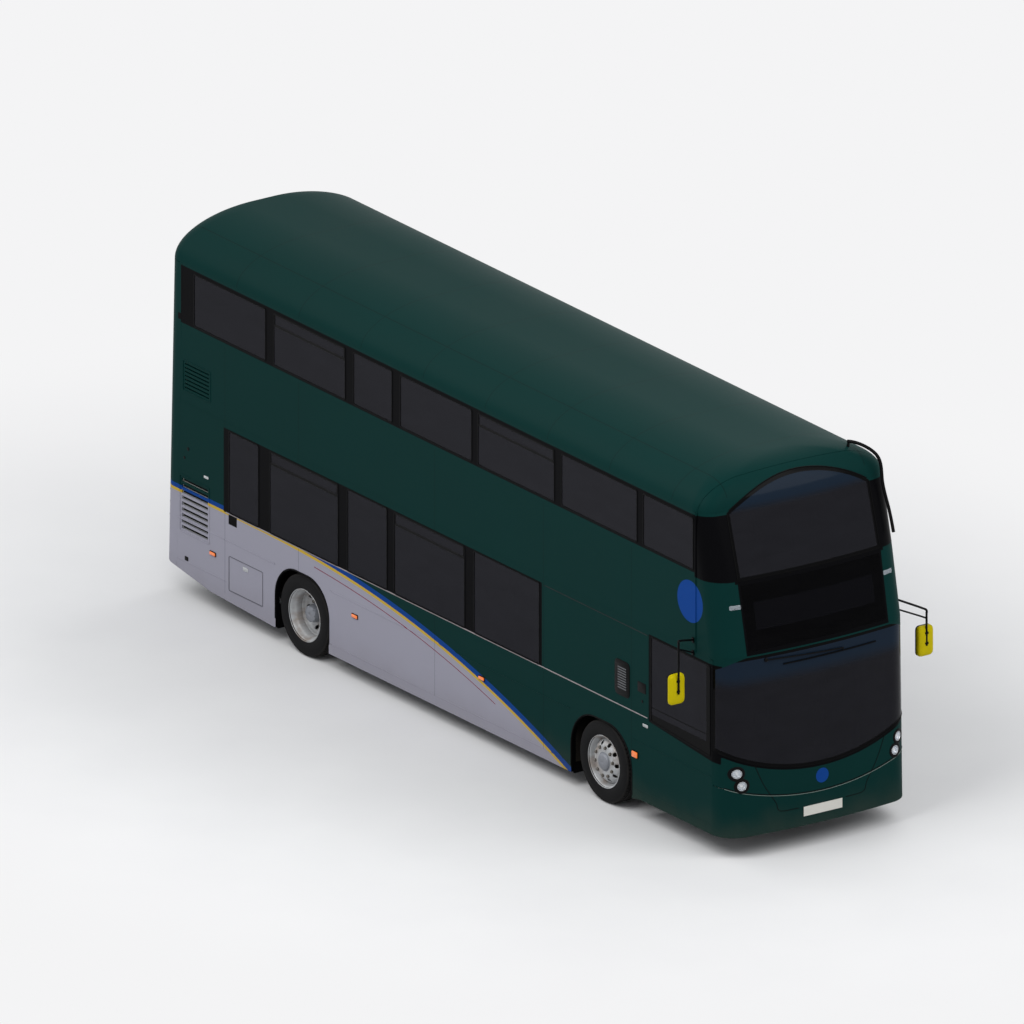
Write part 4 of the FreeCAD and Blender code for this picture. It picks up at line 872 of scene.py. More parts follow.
# Finish: the CAD nodes that stay visible in it.
DRESSING = {
    "coachwork": "offside_lower_wall nearside_lower_wall offside_upper_wall nearside_upper_wall side_grilles"
                 " roof rear_wall engine_door service_flap front_bumper front_panel front_dome",
    "side_glass": "side_and_rear_windows",
    "screen_glass": "lower_windscreen upper_windscreen",
    "sign_glass": "destination_glass",
    "door_glass": "front_door_glass rear_door_glass",
    "floor_cover": "lower_floor upper_floor",
    "saloon_panel": "staircase",
    "arch_liner": "wheel_arches",
    "cab_plastic": "driver_cab",
    "seat_shell": "lower_deck_seats upper_deck_seats driver_seat",
    "rail_paint": "handrails",
    "chassis_black": "chassis_frame front_axle_beam left_knuckle right_knuckle track_rod rear_axle_tube",
    "engine_cast": "engine",
    "air_bellows": "air_springs",
    "trim": "front_door_leaf rear_door_leaf front_door_post rear_door_post windscreen_wiper tree_guard"
            " mirrors",
    "wheel_grip": "steering_wheel",
    "plate_face": "number_plates",
    "lamp_lens": "headlamps",
    "red_lens": "tail_lamps",
    "tyre_rubber": "front_left_tyre front_right_tyre rear_left_tyres rear_right_tyres",
    "wheel_paint": "front_left_rim front_right_rim rear_left_rims rear_right_rims",
}


def dress_frame():
    """Give the CAD nodes their materials."""
    for finish, nodes in DRESSING.items():
        for node in nodes.split():
            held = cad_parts[node]
            if not held.material_slots:
                held.data.materials.append(None)
            for slot in held.material_slots:
                slot.link = "OBJECT"
                slot.material = bpy.data.materials[finish]


# Slot of the packed record: the finishes that stand for it.
SLOTS = {
    "rubber": "soft_rubber seal_grey tyre_rubber",
    "black_trim": "trim display_face vent_grey grille_dark cab_plastic",
    "rim_steel": "bright_metal wheel_paint hub_metal nut_metal",
    "plate_white": "pale_trim crease_grey",
    "green_paint": "coachwork dark_bead",
    "lamp_clear": "reflector bulb_glass lamp_lens amber_lens lamp_cover",
    "lamp_red": "red_lens",
    "cast_iron": "cast",
    "mirror_yellow": "mirror_shell",
    "glass": "mirror_glass",
    "handrail_paint": "rail_paint",
    "seat_fabric": "seat_cloth seat_shell",
    "chassis_steel": "tank_metal exhaust_metal",
}
SLOT_OF = {finish: slot for slot, finishes in SLOTS.items() for finish in finishes.split()}


def piece(name, shapes, finish, body="bus_body", replaces=(), wall=0.0):
    """Add shapes as one piece that rides on a body, with a wall's thickness if one is given."""
    made = bpy.data.objects.new(name, gathered(shapes).mesh(name))
    bpy.context.scene.collection.objects.link(made)
    made.data.materials.append(bpy.data.materials[finish])
    if wall:
        thick = made.modifiers.new("Wall", "SOLIDIFY")
        thick.thickness = wall
        thick.offset = 0
    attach(made, body)
    for node in replaces:
        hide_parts(node)
    return made


# ------------------------------------------------------------------ sides

def line(x, y, z):
    """Rows of x, y, z, each given as one number or as one for every point."""
    return np.stack(np.broadcast_arrays(x, y, z), 1)


def side_panes():
    """The box of every side pane, with 1 for the nearside or -1 for the offside."""
    boxes = islands("side_and_rear_windows")
    for low, high in boxes[np.abs(boxes.mean(1)[:, 1]) > 1.1]:
        yield low, high, math.copysign(1, low[1] + high[1])


def side_ring(corners, radius, side, half, out=OUT):
    """A rubber section carried round a rounded outline on one side wall."""
    section = [(-half, -0.002), (half, -0.002), (half, 0.002), (half * 0.6, 0.0045), (-half * 0.6, 0.0045),
               (-half, 0.002)]
    path = lifted(rounded(corners, radius, 6), side * out, "side")
    return carried(path, np.array(section) * [1, side], (0, 1, 0), closed=True)


def rear_ring(outline, section, out, up):
    """A section carried round an outline of (across, level) on the rear face."""
    path = line(rear_at(outline[:, 1]) - out, outline[:, 0], outline[:, 1])
    return carried(path, section, up, closed=True)


def bar_along(start, end, level, half, out, side=1, at=OUT):
    """A moulding along a side, its section an ellipse of half height and reach."""
    path = line(np.linspace(start, end, 24), side * at, level)
    return carried(path, circle(1, 12) * [out, half], (0, 0, 1))


CAB_PANE = [(3.91, 1.25), (5.045, 1.1729), (5.045, 2.24), (3.91, 2.24)]


def window_gaskets(settings):
    """Rubber round every fixed pane of the sides and the upper rear, a flat section on a rounded outline."""
    rings = [side_ring(CAB_PANE if low[2] < 1.2 else box_outline(low, high), 0.03, hand, settings.gasket)
             for low, high, hand in side_panes()]
    piece("window_gaskets", rings, "soft_rubber")
    outline = oblong(1.64, 0.62, 0.06, (0, 3.54), 6)
    section = strip(0.012, -0.002, 0.012, 0.003)
    piece("rear_pane_gasket", [rear_ring(outline, section, 0.001, (-1, 0, 0.05))], "soft_rubber")


# Along the bus: between which places the middle of a pane that opens lies, on each deck.
OPENING = {"upper": ((-3.0, -2.4), (1.2, 1.5)), "lower": ((-3.0, -2.4), (-0.6, 0))}


def hoppers(settings):
    """Opening top lights: a transom bar, a thin frame round the light and a catch."""
    bars, catches = [], []
    for low, high, hand in side_panes():
        middle = (low[0] + high[0]) / 2
        spans = OPENING["upper" if low[2] > 3 else "lower"]
        if high[0] - low[0] < 1 or not any(start < middle < end for start, end in spans):
            continue
        level = high[2] - settings.hopper_drop
        bars.append(bar_along(low[0] + 0.012, high[0] - 0.012, level, 0.011, 0.006, hand, HALF_WIDE))
        corners = box_outline((low[0] + 0.02, level + 0.016), (high[0] - 0.02, high[2] - 0.014))
        bars.append(side_ring(corners, 0.02, hand, 0.006, HALF_WIDE + 0.0005))
        catches.append(block((middle - 0.035, hand * (HALF_WIDE - 0.035), level + 0.02),
                             (middle + 0.035, hand * (HALF_WIDE - 0.014), level + 0.05), 0.003, 0.008))
    piece("hopper_transoms", bars, "trim")
    piece("hopper_catches", catches, "bright_metal")


# Start, end, level and share of the moulding's half height, on both sides and on the offside alone.
BEADS = ((-5.25, -3.36, 0.935, 0.55), (-2.3, 2.34, 0.935, 0.55), (-5.25, -4.3, 0.45, 0.5),
         (-2.3, 2.3, 0.31, 0.5))
OFFSIDE_BEADS = ((3.56, 5.05, 0.935, 0.55), (3.56, 5.05, 0.37, 0.6))


def side_mouldings(settings):
    """Pale rail at the waist, beads under it and gutters over the panes, as elliptic sections."""
    half = settings.moulding
    piece("waist_rails", [bar_along(-4.30, end, 1.262, half * 0.6, 0.005, side)
                          for side, end in ((-1, 3.84), (1, 3.66))], "pale_trim")
    beads = [bar_along(start, end, level, half * share, 0.004, side)
             for side, rows in ((-1, BEADS + OFFSIDE_BEADS), (1, BEADS))
             for start, end, level, share in rows]
    piece("side_beads", beads, "coachwork")
    piece("deck_beads", [bar_along(1.86, 3.84, DECK_JOINT, 0.005, 0.003, -1)], "dark_bead")
    piece("roof_gutters", [bar_along(-5.19, 4.76, 3.947, 0.007, 0.003, side, HALF_WIDE - 0.002)
                           for side in BOTH], "coachwork")


def roof_edge():
    """The outer front edge of the roof, with a straight leg down each side wall, as a path."""
    joint = 4.777
    points = vertices(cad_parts["roof"].data)
    edge = points[points[:, 0] > points[:, 0].max() - 0.004]
    flat = np.clip((np.abs(edge[:, 1]) - HALF_WIDE + DOME_SIDE) / DOME_SIDE, 0, 1)
    share = flat ** 2 + ((edge[:, 2] - CANTRAIL) / DOME_RISE) ** 2
    edge = edge[(share > 0.95) & (edge[:, 2] > CANTRAIL + 0.01)]
    edge = edge[np.argsort(-np.arctan2(edge[:, 2] - CANTRAIL, edge[:, 1]))]
    apart = np.linalg.norm(np.diff(edge, axis=0), axis=1)
    edge = edge[np.concatenate([[True], apart > 0.01])]
    level = np.array([2.326, 3.1, CANTRAIL])
    return np.concatenate([line(joint, -HALF_WIDE, level), line(joint, edge[:, 1], edge[:, 2]),
                           line(joint, HALF_WIDE, level[::-1])])


def joint_covers():
    """Flat painted strips over the joints of the body panels, each carried along its joint."""
    flat = strip(0.0075, -0.002, 0.006, 0.0006)
    front_up, rear_up = np.linspace(0.27, 2.31, 20), np.linspace(0.40, 3.94, 30)
    strips = [carried(roof_edge(), strip(0.009, -0.002, 0.008, 0.0012), (1, 0, 0))]
    for side in BOTH:
        deck = line(np.linspace(-5.24, 5.06, 60), side * HALF_WIDE, 2.317)
        strips.append(carried(deck, flat[:, ::-1] * [side, 1], (0, 0, 1)))
        for upright in (line(5.085, side * (HALF_WIDE - 0.0018), front_up),
                        line(rear_at(rear_up, -5.257), side * HALF_WIDE, rear_up)):
            strips.append(carried(upright, flat * [1, side], (0, 1, 0)))
    piece("joint_covers", strips, "coachwork")


FRONT_AXLE, REAR_AXLE = 2.95, -2.83
ARCH_HEAD = 0.975


def arch_lips():
    """Rubber lip round each wheel arch: a round bead with a flat flange, carried from foot to foot.

    The outline rises from a foot, turns over each shoulder by a quarter circle and falls to the other foot.
    """
    section = np.array([(-0.008, -0.012), (0.012, -0.012), (0.013, 0.0), (0.009, 0.006), (0.001, 0.007),
                        (-0.006, 0.004)])
    turn = np.linspace(0, math.pi / 2, 14)
    lips = []
    for axle, half, radius, foot in ((FRONT_AXLE, 0.585, 0.45, 0.27), (REAR_AXLE, 0.515, 0.40, 0.30)):
        out = half - radius * (1 - np.cos(turn))
        up = ARCH_HEAD - radius + radius * np.sin(turn)
        x = axle + np.concatenate([[-half], -out, out[::-1], [half]])
        z = np.concatenate([[foot], up, up[::-1], [foot]])
        lips += [carried(line(x, side * (HALF_WIDE - 0.001), z), section * [1, side], (0, 1, 0))
                 for side in BOTH]
    piece("arch_lips", lips, "soft_rubber")


def offside_plate(wide, high, radius, middle, out, sunk=0.002):
    """A rounded plate on the offside wall, standing out of it and let into it."""
    return plank(oblong(wide, high, radius, middle), -HALF_WIDE - out, -HALF_WIDE + sunk)


def side_fittings():
    """Offside vent with its inner grille, a black hatch, small caps, a pale latch and flap fittings."""
    dark = [offside_plate(0.29, 0.42, 0.07, (3.355, 1.59), 0.006),
            offside_plate(0.16, 0.12, 0.012, (3.73, 1.59), 0.004),
            offside_plate(0.07, 0.05, 0.01, (-5.06, 0.49), 0.003)]
    dark += [lathe([(0.002, radius), (-0.003, radius * 0.95), (-0.0045, radius * 0.5), (-0.005, 0.0003)],
                   (x, -HALF_WIDE, z), "y", 20)
             for x, z, radius in ((3.74, 1.43, 0.018), (-5.03, 1.79, 0.022), (-5.10, 1.67, 0.018))]
    piece("side_caps", dark, "trim")
    slats = [bar_along(3.275, 3.435, 1.47 + row * 0.03, 0.008, 0.004, -1, HALF_WIDE + 0.0062)
             for row in range(9)]
    piece("side_vent_slats", slats, "vent_grey")
    piece("side_latches", [offside_plate(0.10, 0.035, 0.01, (3.80, 1.16), 0.005),
                           offside_plate(0.09, 0.03, 0.01, (-4.68, 1.56), 0.005)], "bright_metal")
    piece("flap_latch", [offside_plate(0.10, 0.05, 0.012, (-3.92, 0.70), 0.005, 0.001)], "bright_metal",
          "side_flap")
    piece("flap_seal", [side_ring(box_outline((-4.24, 0.36), (-3.59, 0.765)), 0.02, -1, 0.003)], "seal_grey")
    for name, low, high in (("low", (-5.178, 0.802), (-4.632, 1.438)),
                            ("high", (-5.118, 2.472), (-4.612, 2.808))):
        ring = side_ring(box_outline(low, high, 0.012), 0.03, -1, 0.006)
        piece(f"{name}_grille_frame", [ring], "coachwork")
        wide, tall = np.subtract(high, low) - 0.01
        back = plank(oblong(wide, tall, 0.02, np.add(low, high) / 2), -1.222, -1.216)
        piece(f"{name}_grille_back", [back], "grille_dark")


# ------------------------------------------------------------------ front and rear

def front_strip(across, level, half, thick, out=0.002):
    """A flat section carried along a line on the front."""
    return carried(on_front(across, level, out), strip(half, -thick, half * 0.8, thick), (1, 0, 0))


def arc_strip(span, steps, arc, rise, half, thick):
    """A strip along an arc of the front, raised above it."""
    across = np.linspace(-span, span, steps)
    return front_strip(across, arc_high(across, arc) + rise, half, thick)


def front_panelling():
    """Lines of the front: a pale strip under a black one along the crease, and the screens' rubber."""
    piece("crease_strip", [arc_strip(1.2, 61, CREASE, 0.004, 0.0035, 0.002)], "crease_grey")
    piece("crease_joint", [arc_strip(1.2, 61, CREASE, 0.016, 0.005, 0.002)], "trim")
    route = smooth([(0.887, 1.10), (0.765, 0.83), (0.616, 0.60), (0.560, 0.49), (0.32, 0.478)])
    piece("bumper_joints", [front_strip(side * route[:, 0], route[:, 1], 0.0035, 0.0015) for side in BOTH],
          "trim")
    piece("sill_rubber", [arc_strip(1.235, 71, SCREEN_SILL, -0.002, 0.009, 0.003)], "soft_rubber")
    feet = [front_strip(side * 0.96, np.linspace(3.22, 3.93, 16), 0.007, 0.003) for side in BOTH]
    piece("upper_screen_rubber", [arc_strip(0.93, 51, UPPER_ARCH, 0.004, 0.008, 0.003),
                                  front_strip(np.linspace(-0.95, 0.95, 41), 3.202, 0.007, 0.003), *feet],
          "soft_rubber")


def ring_on_front(across, level, radius, profile, sides=40):
    """A profile of (out, radius offset) turned about an axis square to the front at a point."""
    angle = round_angles(sides)[:, None]
    profile = np.asarray(profile, float)
    far = radius + profile[None, :, 1]
    points = on_front(across + far * np.cos(angle), level + far * np.sin(angle), profile[None, :, 0])
    return Shape().grid(points, round_rows=True, round_columns=False, ends=False)


HEADLAMPS = ((1.088, 1.007), (1.034, 0.859))
# Name, finish, radius, sides, wall, whether it stands for the plain lamp, profile of (out, radius offset).
HEADLAMP_PARTS = (
    ("surrounds", "trim", 0.068, 40, 0.001, False,
     [(-0.020, -0.016), (-0.003, -0.015), (0.003, -0.010), (0.0065, 0.000), (0.0060, 0.012), (0.002, 0.019),
      (-0.006, 0.020)]),
    ("rings", "bright_metal", 0.068, 40, 0.001, False,
     [(-0.018, -0.022), (-0.004, -0.021), (0.001, -0.018), (0.001, -0.015), (-0.006, -0.014)]),
    ("bowls", "reflector", 0.068, 40, 0.001, True,
     [(-0.045, -0.0678), (-0.043, -0.055), (-0.033, -0.038), (-0.012, -0.023), (-0.006, -0.020)]),
    ("bulbs", "bulb_glass", 0.014, 16, 0.001, False,
     [(-0.040, 0), (-0.018, 0), (-0.012, -0.004), (-0.010, -0.0138)]),
    ("lenses", "lamp_lens", 0.068, 40, 0.0015, True,
     [(0.005, -0.068), (0.0048, -0.055), (0.0035, -0.038), (0.001, -0.026), (-0.004, -0.021)]),
)


def headlamp_units():
    """Round headlamps: a black surround, a bright ring, a parabolic bowl, a bulb and a domed lens."""
    for name, finish, radius, sides, wall, stands_for, profile in HEADLAMP_PARTS:
        rings = [ring_on_front(side * across, level, radius, profile, sides)
                 for across, level in HEADLAMPS for side in BOTH]
        piece(f"headlamp_{name}", rings, finish, wall=wall, replaces=["headlamps"] if stands_for else ())


def small_lamps():
    """Amber side markers on black bases and white top markers, as domed oblong lenses."""
    bases, ambers, whites = [], [], []
    dome = oblong(0.13, 0.05, 0.014)
    for side in BOTH:
        at = side * (HALF_WIDE + 0.0005)
        for x, z, tall in ((3.60, 0.766, 0.034), (0.64, 0.78, 0.018), (-1.81, 0.78, 0.018),
                           (-4.55, 0.70, 0.018)):
            bases.append(block((x - 0.062, at - 0.004 * side, z - tall - 0.008),
                               (x + 0.062, at + 0.006 * side, z + tall + 0.008), 0.002, 0.012))
            ambers.append(block((x - 0.052, at, z - tall), (x + 0.052, at + 0.015 * side, z + tall), 0.005))
        rows = [on_front(side * 1.03 + dome[:, 0] * size, 2.92 + dome[:, 1] * size, out)
                for size, out in ((1.0, -0.004), (1.0, 0.003), (0.8, 0.006), (0.3, 0.0075))]
        whites.append(Shape().grid(np.stack(rows)))
    piece("marker_bases", bases, "soft_rubber")
    piece("amber_lenses", ambers, "amber_lens")
    piece("white_markers", whites, "lamp_lens")


def blank_display():
    """Route display behind its glass: a dark dotted board with a pale lower edge."""
    across = np.linspace(-0.79, 0.79, 31)
    level = np.linspace(2.64, 2.94, 7)
    board = np.stack([on_front(across, row, -0.045) for row in level])
    back = np.stack([on_front(across, row, -0.055) for row in level[::-1]])
    piece("display_board", [Shape().grid(np.concatenate([board, back]), True, False, False)], "display_face")
    piece("display_edge", [front_strip(across, 2.652, 0.004, 0.003, -0.036)], "crease_grey")


def plate_trim():
    """Thin frame and two screws for each number plate."""
    rings, screws = [], []
    for middle, x, face in ((0.4255, 5.4285, 1), (0.4505, TAIL + 0.0015, -1)):
        path = lifted(oblong(0.512, 0.103, 0.012, (0, middle)), x - face * 0.0005, "front")
        rings.append(carried(path, strip(0.004, -0.003, 0.003, 0.0015) * [1, face], (1, 0, 0), closed=True))
        screws += [lathe([(-0.004, 0.0078), (0, 0.0075), (0.001, 0.005), (0.0012, 0.0002)],
                         (x, across, middle), "x", 14, face) for across in (-0.19, 0.19)]
    piece("plate_frames", rings, "trim")
    piece("plate_screws", screws, "bright_metal", wall=0.0006)


def guard_stubs():
    """Short feet that hold the tree guard off the front dome and the upper screen's pillar."""
    feet = [tube([(5.055, 1.135, 3.36), (5.030, 1.120, 3.36), (5.005, 1.105, 3.36)], 0.014, 10),
            tube([(4.70, 0.856, 4.325), (4.70, 0.850, 4.300), (4.70, 0.845, 4.275)], 0.016, 10, (1, 0, 0.1))]
    piece("guard_stubs", feet, "trim")


def wiper():
    """A pantograph wiper: a cap on its spindle, a cranked arm and a bowed blade with its rubber."""
    profile = [(-0.002, 0.024), (0.012, 0.022), (0.018, 0.014), (0.019, 0.0005)]
    cap = ring_on_front(-0.72, 2.29, 0.0, profile, 24)
    along = np.linspace(-0.72, 0.30, 24)
    level = np.interp(along, [-0.72, -0.6, 0.30], [2.29, 2.285, 2.235])
    arm = front_strip(along, level, 0.008, 0.0035, 0.018)
    yoke = front_strip(np.linspace(0.285, 0.30, 6), np.linspace(2.236, 2.206, 6), 0.007, 0.003, 0.015)
    piece("wiper_arm", [cap, arm, yoke], "trim", replaces=["windscreen_wiper"])
    across = np.linspace(-0.50, 0.76, 40)
    piece("wiper_blade", [front_strip(across, 2.205, 0.006, 0.004, 0.010),
                          front_strip(across, 2.197, 0.0035, 0.0035, 0.005)], "soft_rubber",
          replaces=["windscreen_wiper"])


TAIL_LEVELS = (0.860, 1.010, 1.160)
TAIL_DOME = [(0.002, 0.058), (-0.002, 0.057), (-0.0045, 0.045), (-0.0055, 0.02), (-0.0057, 0.0005)]
# Name, finish, wall, levels, the node that it stands for, profile of (along, radius).
TAIL_PARTS = (
    ("tail_lamp_cups", "trim", 0.001, TAIL_LEVELS, [],
     [(0.004, 0.066), (-0.002, 0.066), (-0.0045, 0.063), (-0.004, 0.057)]),
    ("tail_lamp_rims", "bright_metal", 0.0008, TAIL_LEVELS, [],
     [(-0.001, 0.0585), (-0.0048, 0.0575), (-0.004, 0.0555)]),
    ("stop_lenses", "red_lens", 0.0015, TAIL_LEVELS[2:], ["tail_lamps"], TAIL_DOME),
    ("turn_lenses", "amber_lens", 0.0015, TAIL_LEVELS[1:2], ["tail_lamps"], TAIL_DOME),
    ("reverse_lenses", "red_lens", 0.0015, TAIL_LEVELS[:1], ["tail_lamps"], TAIL_DOME),
)


def tail_lamp_units():
    """Round rear lamps: a black cup, a lens that bulges from its rim to its middle and a bright rim."""
    for name, finish, wall, levels, nodes, profile in TAIL_PARTS:
        turned = [lathe(profile, (rear_at(level), side * 1.095, level), "x", 40)
                  for level in levels for side in BOTH]
        piece(name, turned, finish, wall=wall, replaces=nodes)


def engine_lid_fittings():
    """Louvres pressed in the engine door and two latches, which turn with the lid, and the seal round it."""
    section = [(0.006, -0.016), (-0.0025, -0.014), (-0.0045, -0.004), (-0.0015, 0.012), (0.006, 0.016)]
    slats = [carried(line(rear_at(level) - 0.0008, np.linspace(-0.62, 0.62, 24), level), section, (0, 0, 1))
             for level in (0.60 + row * 0.052 for row in range(9))]
    piece("engine_lid_louvres", slats, "coachwork", "engine_lid")
    x = rear_at(0.45)
    latches = [block((x - 0.005, side * 0.80 - 0.035, 0.435), (x + 0.004, side * 0.80 + 0.035, 0.475),
                     0.0015, 0.008, "front") for side in BOTH]
    piece("engine_lid_latches", latches, "bright_metal", "engine_lid")
    seal = rear_ring(oblong(1.90, 0.98, 0.03, (0, 0.89)), strip(0.004, -0.002, 0.003, 0.0015), 0.0006,
                     (-1, 0, 0))
    piece("engine_door_seal", [seal], "soft_rubber")


# ------------------------------------------------------------------ wheels

TYRE_RADIUS = 0.478
WHEEL_OUT = 1.105
TWIN_GAP = 0.312
TYRE_WALL = [(-0.104, 0.290), (-0.118, 0.300), (-0.131, 0.330), (-0.1372, 0.372), (-0.1345, 0.415),
             (-0.127, 0.446), (-0.119, 0.462), (-0.108, 0.4705)]
GROOVES = (-0.069, -0.024, 0.024, 0.069)
SHOULDER = 0.079
CROWN_FALL = 0.62
HOLE_CIRCLE, HOLE_RADIUS, HOLE_RIM = 0.2130, 0.024, 0.012


def wheel_middle(node):
    """The middle of a wheel's node."""
    low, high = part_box(node)
    return (np.array(low) + np.array(high)) / 2


def tyre(middle, settings, phase):
    """A tyre about the y axis through a middle point.

    Its wall is a smooth curve through knots of (along, radius). Its crown is the tyre's radius less
    CROWN_FALL times the square of the distance along, lowered by the groove depth in four bands, in
    gaps between shoulder blocks and, less, in cuts between the grooves, which both repeat with the angle.
    """
    wall = smooth(TYRE_WALL, 4)
    lips = [spot + np.array([-0.0065, -0.005, 0.005, 0.0065]) for spot in GROOVES]
    along = np.sort(np.concatenate([np.linspace(-0.104, 0.104, 27), *lips]))
    sides = settings.blocks * 5
    angle = round_angles(sides)[:, None] + phase
    sunk = np.min([np.abs(along - spot) for spot in GROOVES], 0) < 0.0055
    step = (np.arange(sides) % 5)[:, None]
    gap = (step < 2) * (np.abs(along) > SHOULDER)
    sipe = (step == 3) * (np.abs(along) < SHOULDER)
    depth = np.maximum(np.maximum(sunk, gap * 0.8), sipe * 0.35) * settings.groove
    crown = TYRE_RADIUS - CROWN_FALL * along ** 2 - depth
    radius = np.concatenate([np.tile(wall[:, 1], (sides, 1)), crown, np.tile(wall[::-1, 1], (sides, 1))], 1)
    place = np.broadcast_to(np.concatenate([wall[:, 0], along, -wall[::-1, 0]]), radius.shape)
    points = np.stack([radius * np.cos(angle), place, radius * np.sin(angle)], -1)
    return Shape().grid(points + middle, round_rows=True, ends=False)


def holed_disc(radii, heights, holes, middle, hand):
    """A dished disc with round holes.

    Each sector is a grid from its hole's circle out to the sector's edge; a point's height is read from
    the dish's curve of height against radius. The rest is rings of the same curve.
    """
    half_turn = math.pi / holes
    low, high = HOLE_CIRCLE - HOLE_RADIUS - HOLE_RIM, HOLE_CIRCLE + HOLE_RADIUS + HOLE_RIM
    side = np.linspace(0, 1, 9)[:-1]
    theta = np.concatenate([-half_turn + 2 * half_turn * side, np.full(8, half_turn),
                            half_turn - 2 * half_turn * side, np.full(8, -half_turn)])
    far = np.concatenate([np.full(8, low), low + (high - low) * side, np.full(8, high),
                          high - (high - low) * side])
    edge = np.stack([far * np.cos(theta), far * np.sin(theta)], 1)
    hub = np.array([HOLE_CIRCLE, 0.0])
    ray = edge - hub
    ray = ray / np.linalg.norm(ray, axis=1, keepdims=True)
    share = np.linspace(0, 1, 5)[:, None, None]
    sector = (hub + ray * HOLE_RADIUS)[None] * (1 - share) + edge[None] * share
    turn = np.arange(holes)[:, None, None] * TURN / holes
    spun = np.stack([sector[..., 0] * np.cos(turn) - sector[..., 1] * np.sin(turn),
                     sector[..., 0] * np.sin(turn) + sector[..., 1] * np.cos(turn)], -1)
    spots = (np.arange(holes * 8) / 8 - 0.5) * TURN / holes
    grids = list(spun)
    for start, end, steps in ((radii[0], low, 10), (high, radii[-1], 6)):
        ring = np.linspace(start, end, steps)[:, None]
        grids.append(np.stack([ring * np.cos(spots), ring * np.sin(spots)], -1))
    whole = Shape()
    for flat in grids:
        height = np.interp(np.hypot(flat[..., 0], flat[..., 1]), radii, heights)
        whole.grid(np.stack([flat[..., 0], hand * height, flat[..., 1]], -1) + middle, ends=False)
    return whole


RIM_HALF = [(0.122, 0.296), (0.123, 0.302), (0.119, 0.3035), (0.113, 0.301), (0.108, 0.292),
            (0.102, 0.2865), (0.075, 0.284), (0.055, 0.270), (0.035, 0.262)]
RIM_BARREL = RIM_HALF + [(-along, radius) for along, radius in reversed(RIM_HALF)]
DISH_RADII = [0.105, 0.150, 0.195, 0.225, 0.250, 0.2625]
DISH_OUT = [0.112, 0.116, 0.108, 0.085, 0.052, 0.030]
DISH_IN = [-0.118, -0.122, -0.112, -0.090, -0.060, -0.030]
NUT = [(0.0, 0.0215), (0.006, 0.0215), (0.0065, 0.0185), (0.022, 0.018), (0.026, 0.013), (0.027, 0.0003)]
NUT_CIRCLE = 0.1675
CAP_CIRCLE = 0.083
FRONT_DRUM = [(-0.115, 0.20), (-0.115, 0.212), (0.02, 0.208), (0.03, 0.19), (0.035, 0.10)]
REAR_DRUM = [(-0.10, 0.20), (-0.10, 0.212), (0.03, 0.208), (0.04, 0.19), (0.045, 0.10)]
# End, place along, tyres' distances out, turn of the tread, plural ending, dishes of the discs from outside,
# hub profile, level of the hub's small bolts with their height, and the drum's profile.
WHEELS = (
    ("front", FRONT_AXLE, (WHEEL_OUT,), 0.07, "", (DISH_OUT,),
     [(0.060, 0.135), (0.108, 0.132), (0.116, 0.108), (0.118, 0.098), (0.136, 0.092), (0.144, 0.080),
      (0.1475, 0.055), (0.149, 0.025), (0.1495, 0.0004)], (0.118, 0.022), FRONT_DRUM),
    ("rear", REAR_AXLE, (WHEEL_OUT, WHEEL_OUT - TWIN_GAP), 0.31, "s", (DISH_IN, DISH_OUT),
     [(-0.150, 0.135), (-0.112, 0.130), (-0.108, 0.112), (-0.020, 0.104), (0.020, 0.100), (0.045, 0.092),
      (0.052, 0.075), (0.054, 0.040), (0.055, 0.0004)], (0.046, 0.008), REAR_DRUM),
)


def ringed(shape, radius, number, level, middle, phase=0.0):
    """Copies of a shape on a circle about a wheel's axis, at a level along it."""
    angle = np.arange(number) * TURN / number + phase
    return Shape().repeat(shape, middle + line(radius * np.cos(angle), level, radius * np.sin(angle)))


def wheel_set(settings):
    """Tyres, barrels, holed discs, hub and nuts for every wheel; the drums stand behind them."""
    for hand, word in ((1, "left"), (-1, "right")):
        for end, along, outs, phase, plural, dishes, hub, (cap, cap_high), drum in WHEELS:
            body = f"{end}_{word}_wheel{plural}"
            rims = [f"{end}_{word}_rim{plural}"]
            middles = [np.array([along, hand * out, TYRE_RADIUS]) for out in outs]
            piece(f"{body}_rubber", [tyre(middle, settings, phase + 0.02 * number)
                                     for number, middle in enumerate(middles)],
                  "tyre_rubber", body, [f"{end}_{word}_tyre{plural}"])
            piece(f"{body}_barrels", [lathe(RIM_BARREL, middle, "y", 80, hand) for middle in middles],
                  "wheel_paint", body, rims, wall=0.005)
            discs = [holed_disc(DISH_RADII, heights, settings.holes, middle, hand)
                     for heights, middle in zip(dishes, middles)]
            piece(f"{body}_discs", discs, "wheel_paint", body, rims, wall=0.008)
            profile = [(0.0, 0.007), (cap_high, 0.0068), (cap_high + 0.002, 0.0002)]
            bolt = lathe(profile, (0, 0, 0), "y", 6, hand)
            hubs = [lathe(hub, middles[0], "y", 48, hand),
                    ringed(bolt, CAP_CIRCLE, 8, hand * cap, middles[0])]
            piece(f"{body}_hubs", hubs, "hub_metal", body, wall=0.003)
            seat = np.interp(NUT_CIRCLE, DISH_RADII, dishes[0])
            nut = lathe(NUT, (0, 0, 0), "y", 6, hand)
            piece(f"{body}_nuts", [ringed(nut, NUT_CIRCLE, settings.nuts, hand * seat, middles[0], 0.17)],
                  "nut_metal", body, wall=0.001)
            piece(f"{body}_drum", [lathe(drum, middles[-1], "y", 48, hand)], "cast", body, wall=0.006)


# ------------------------------------------------------------------ mirrors and doors

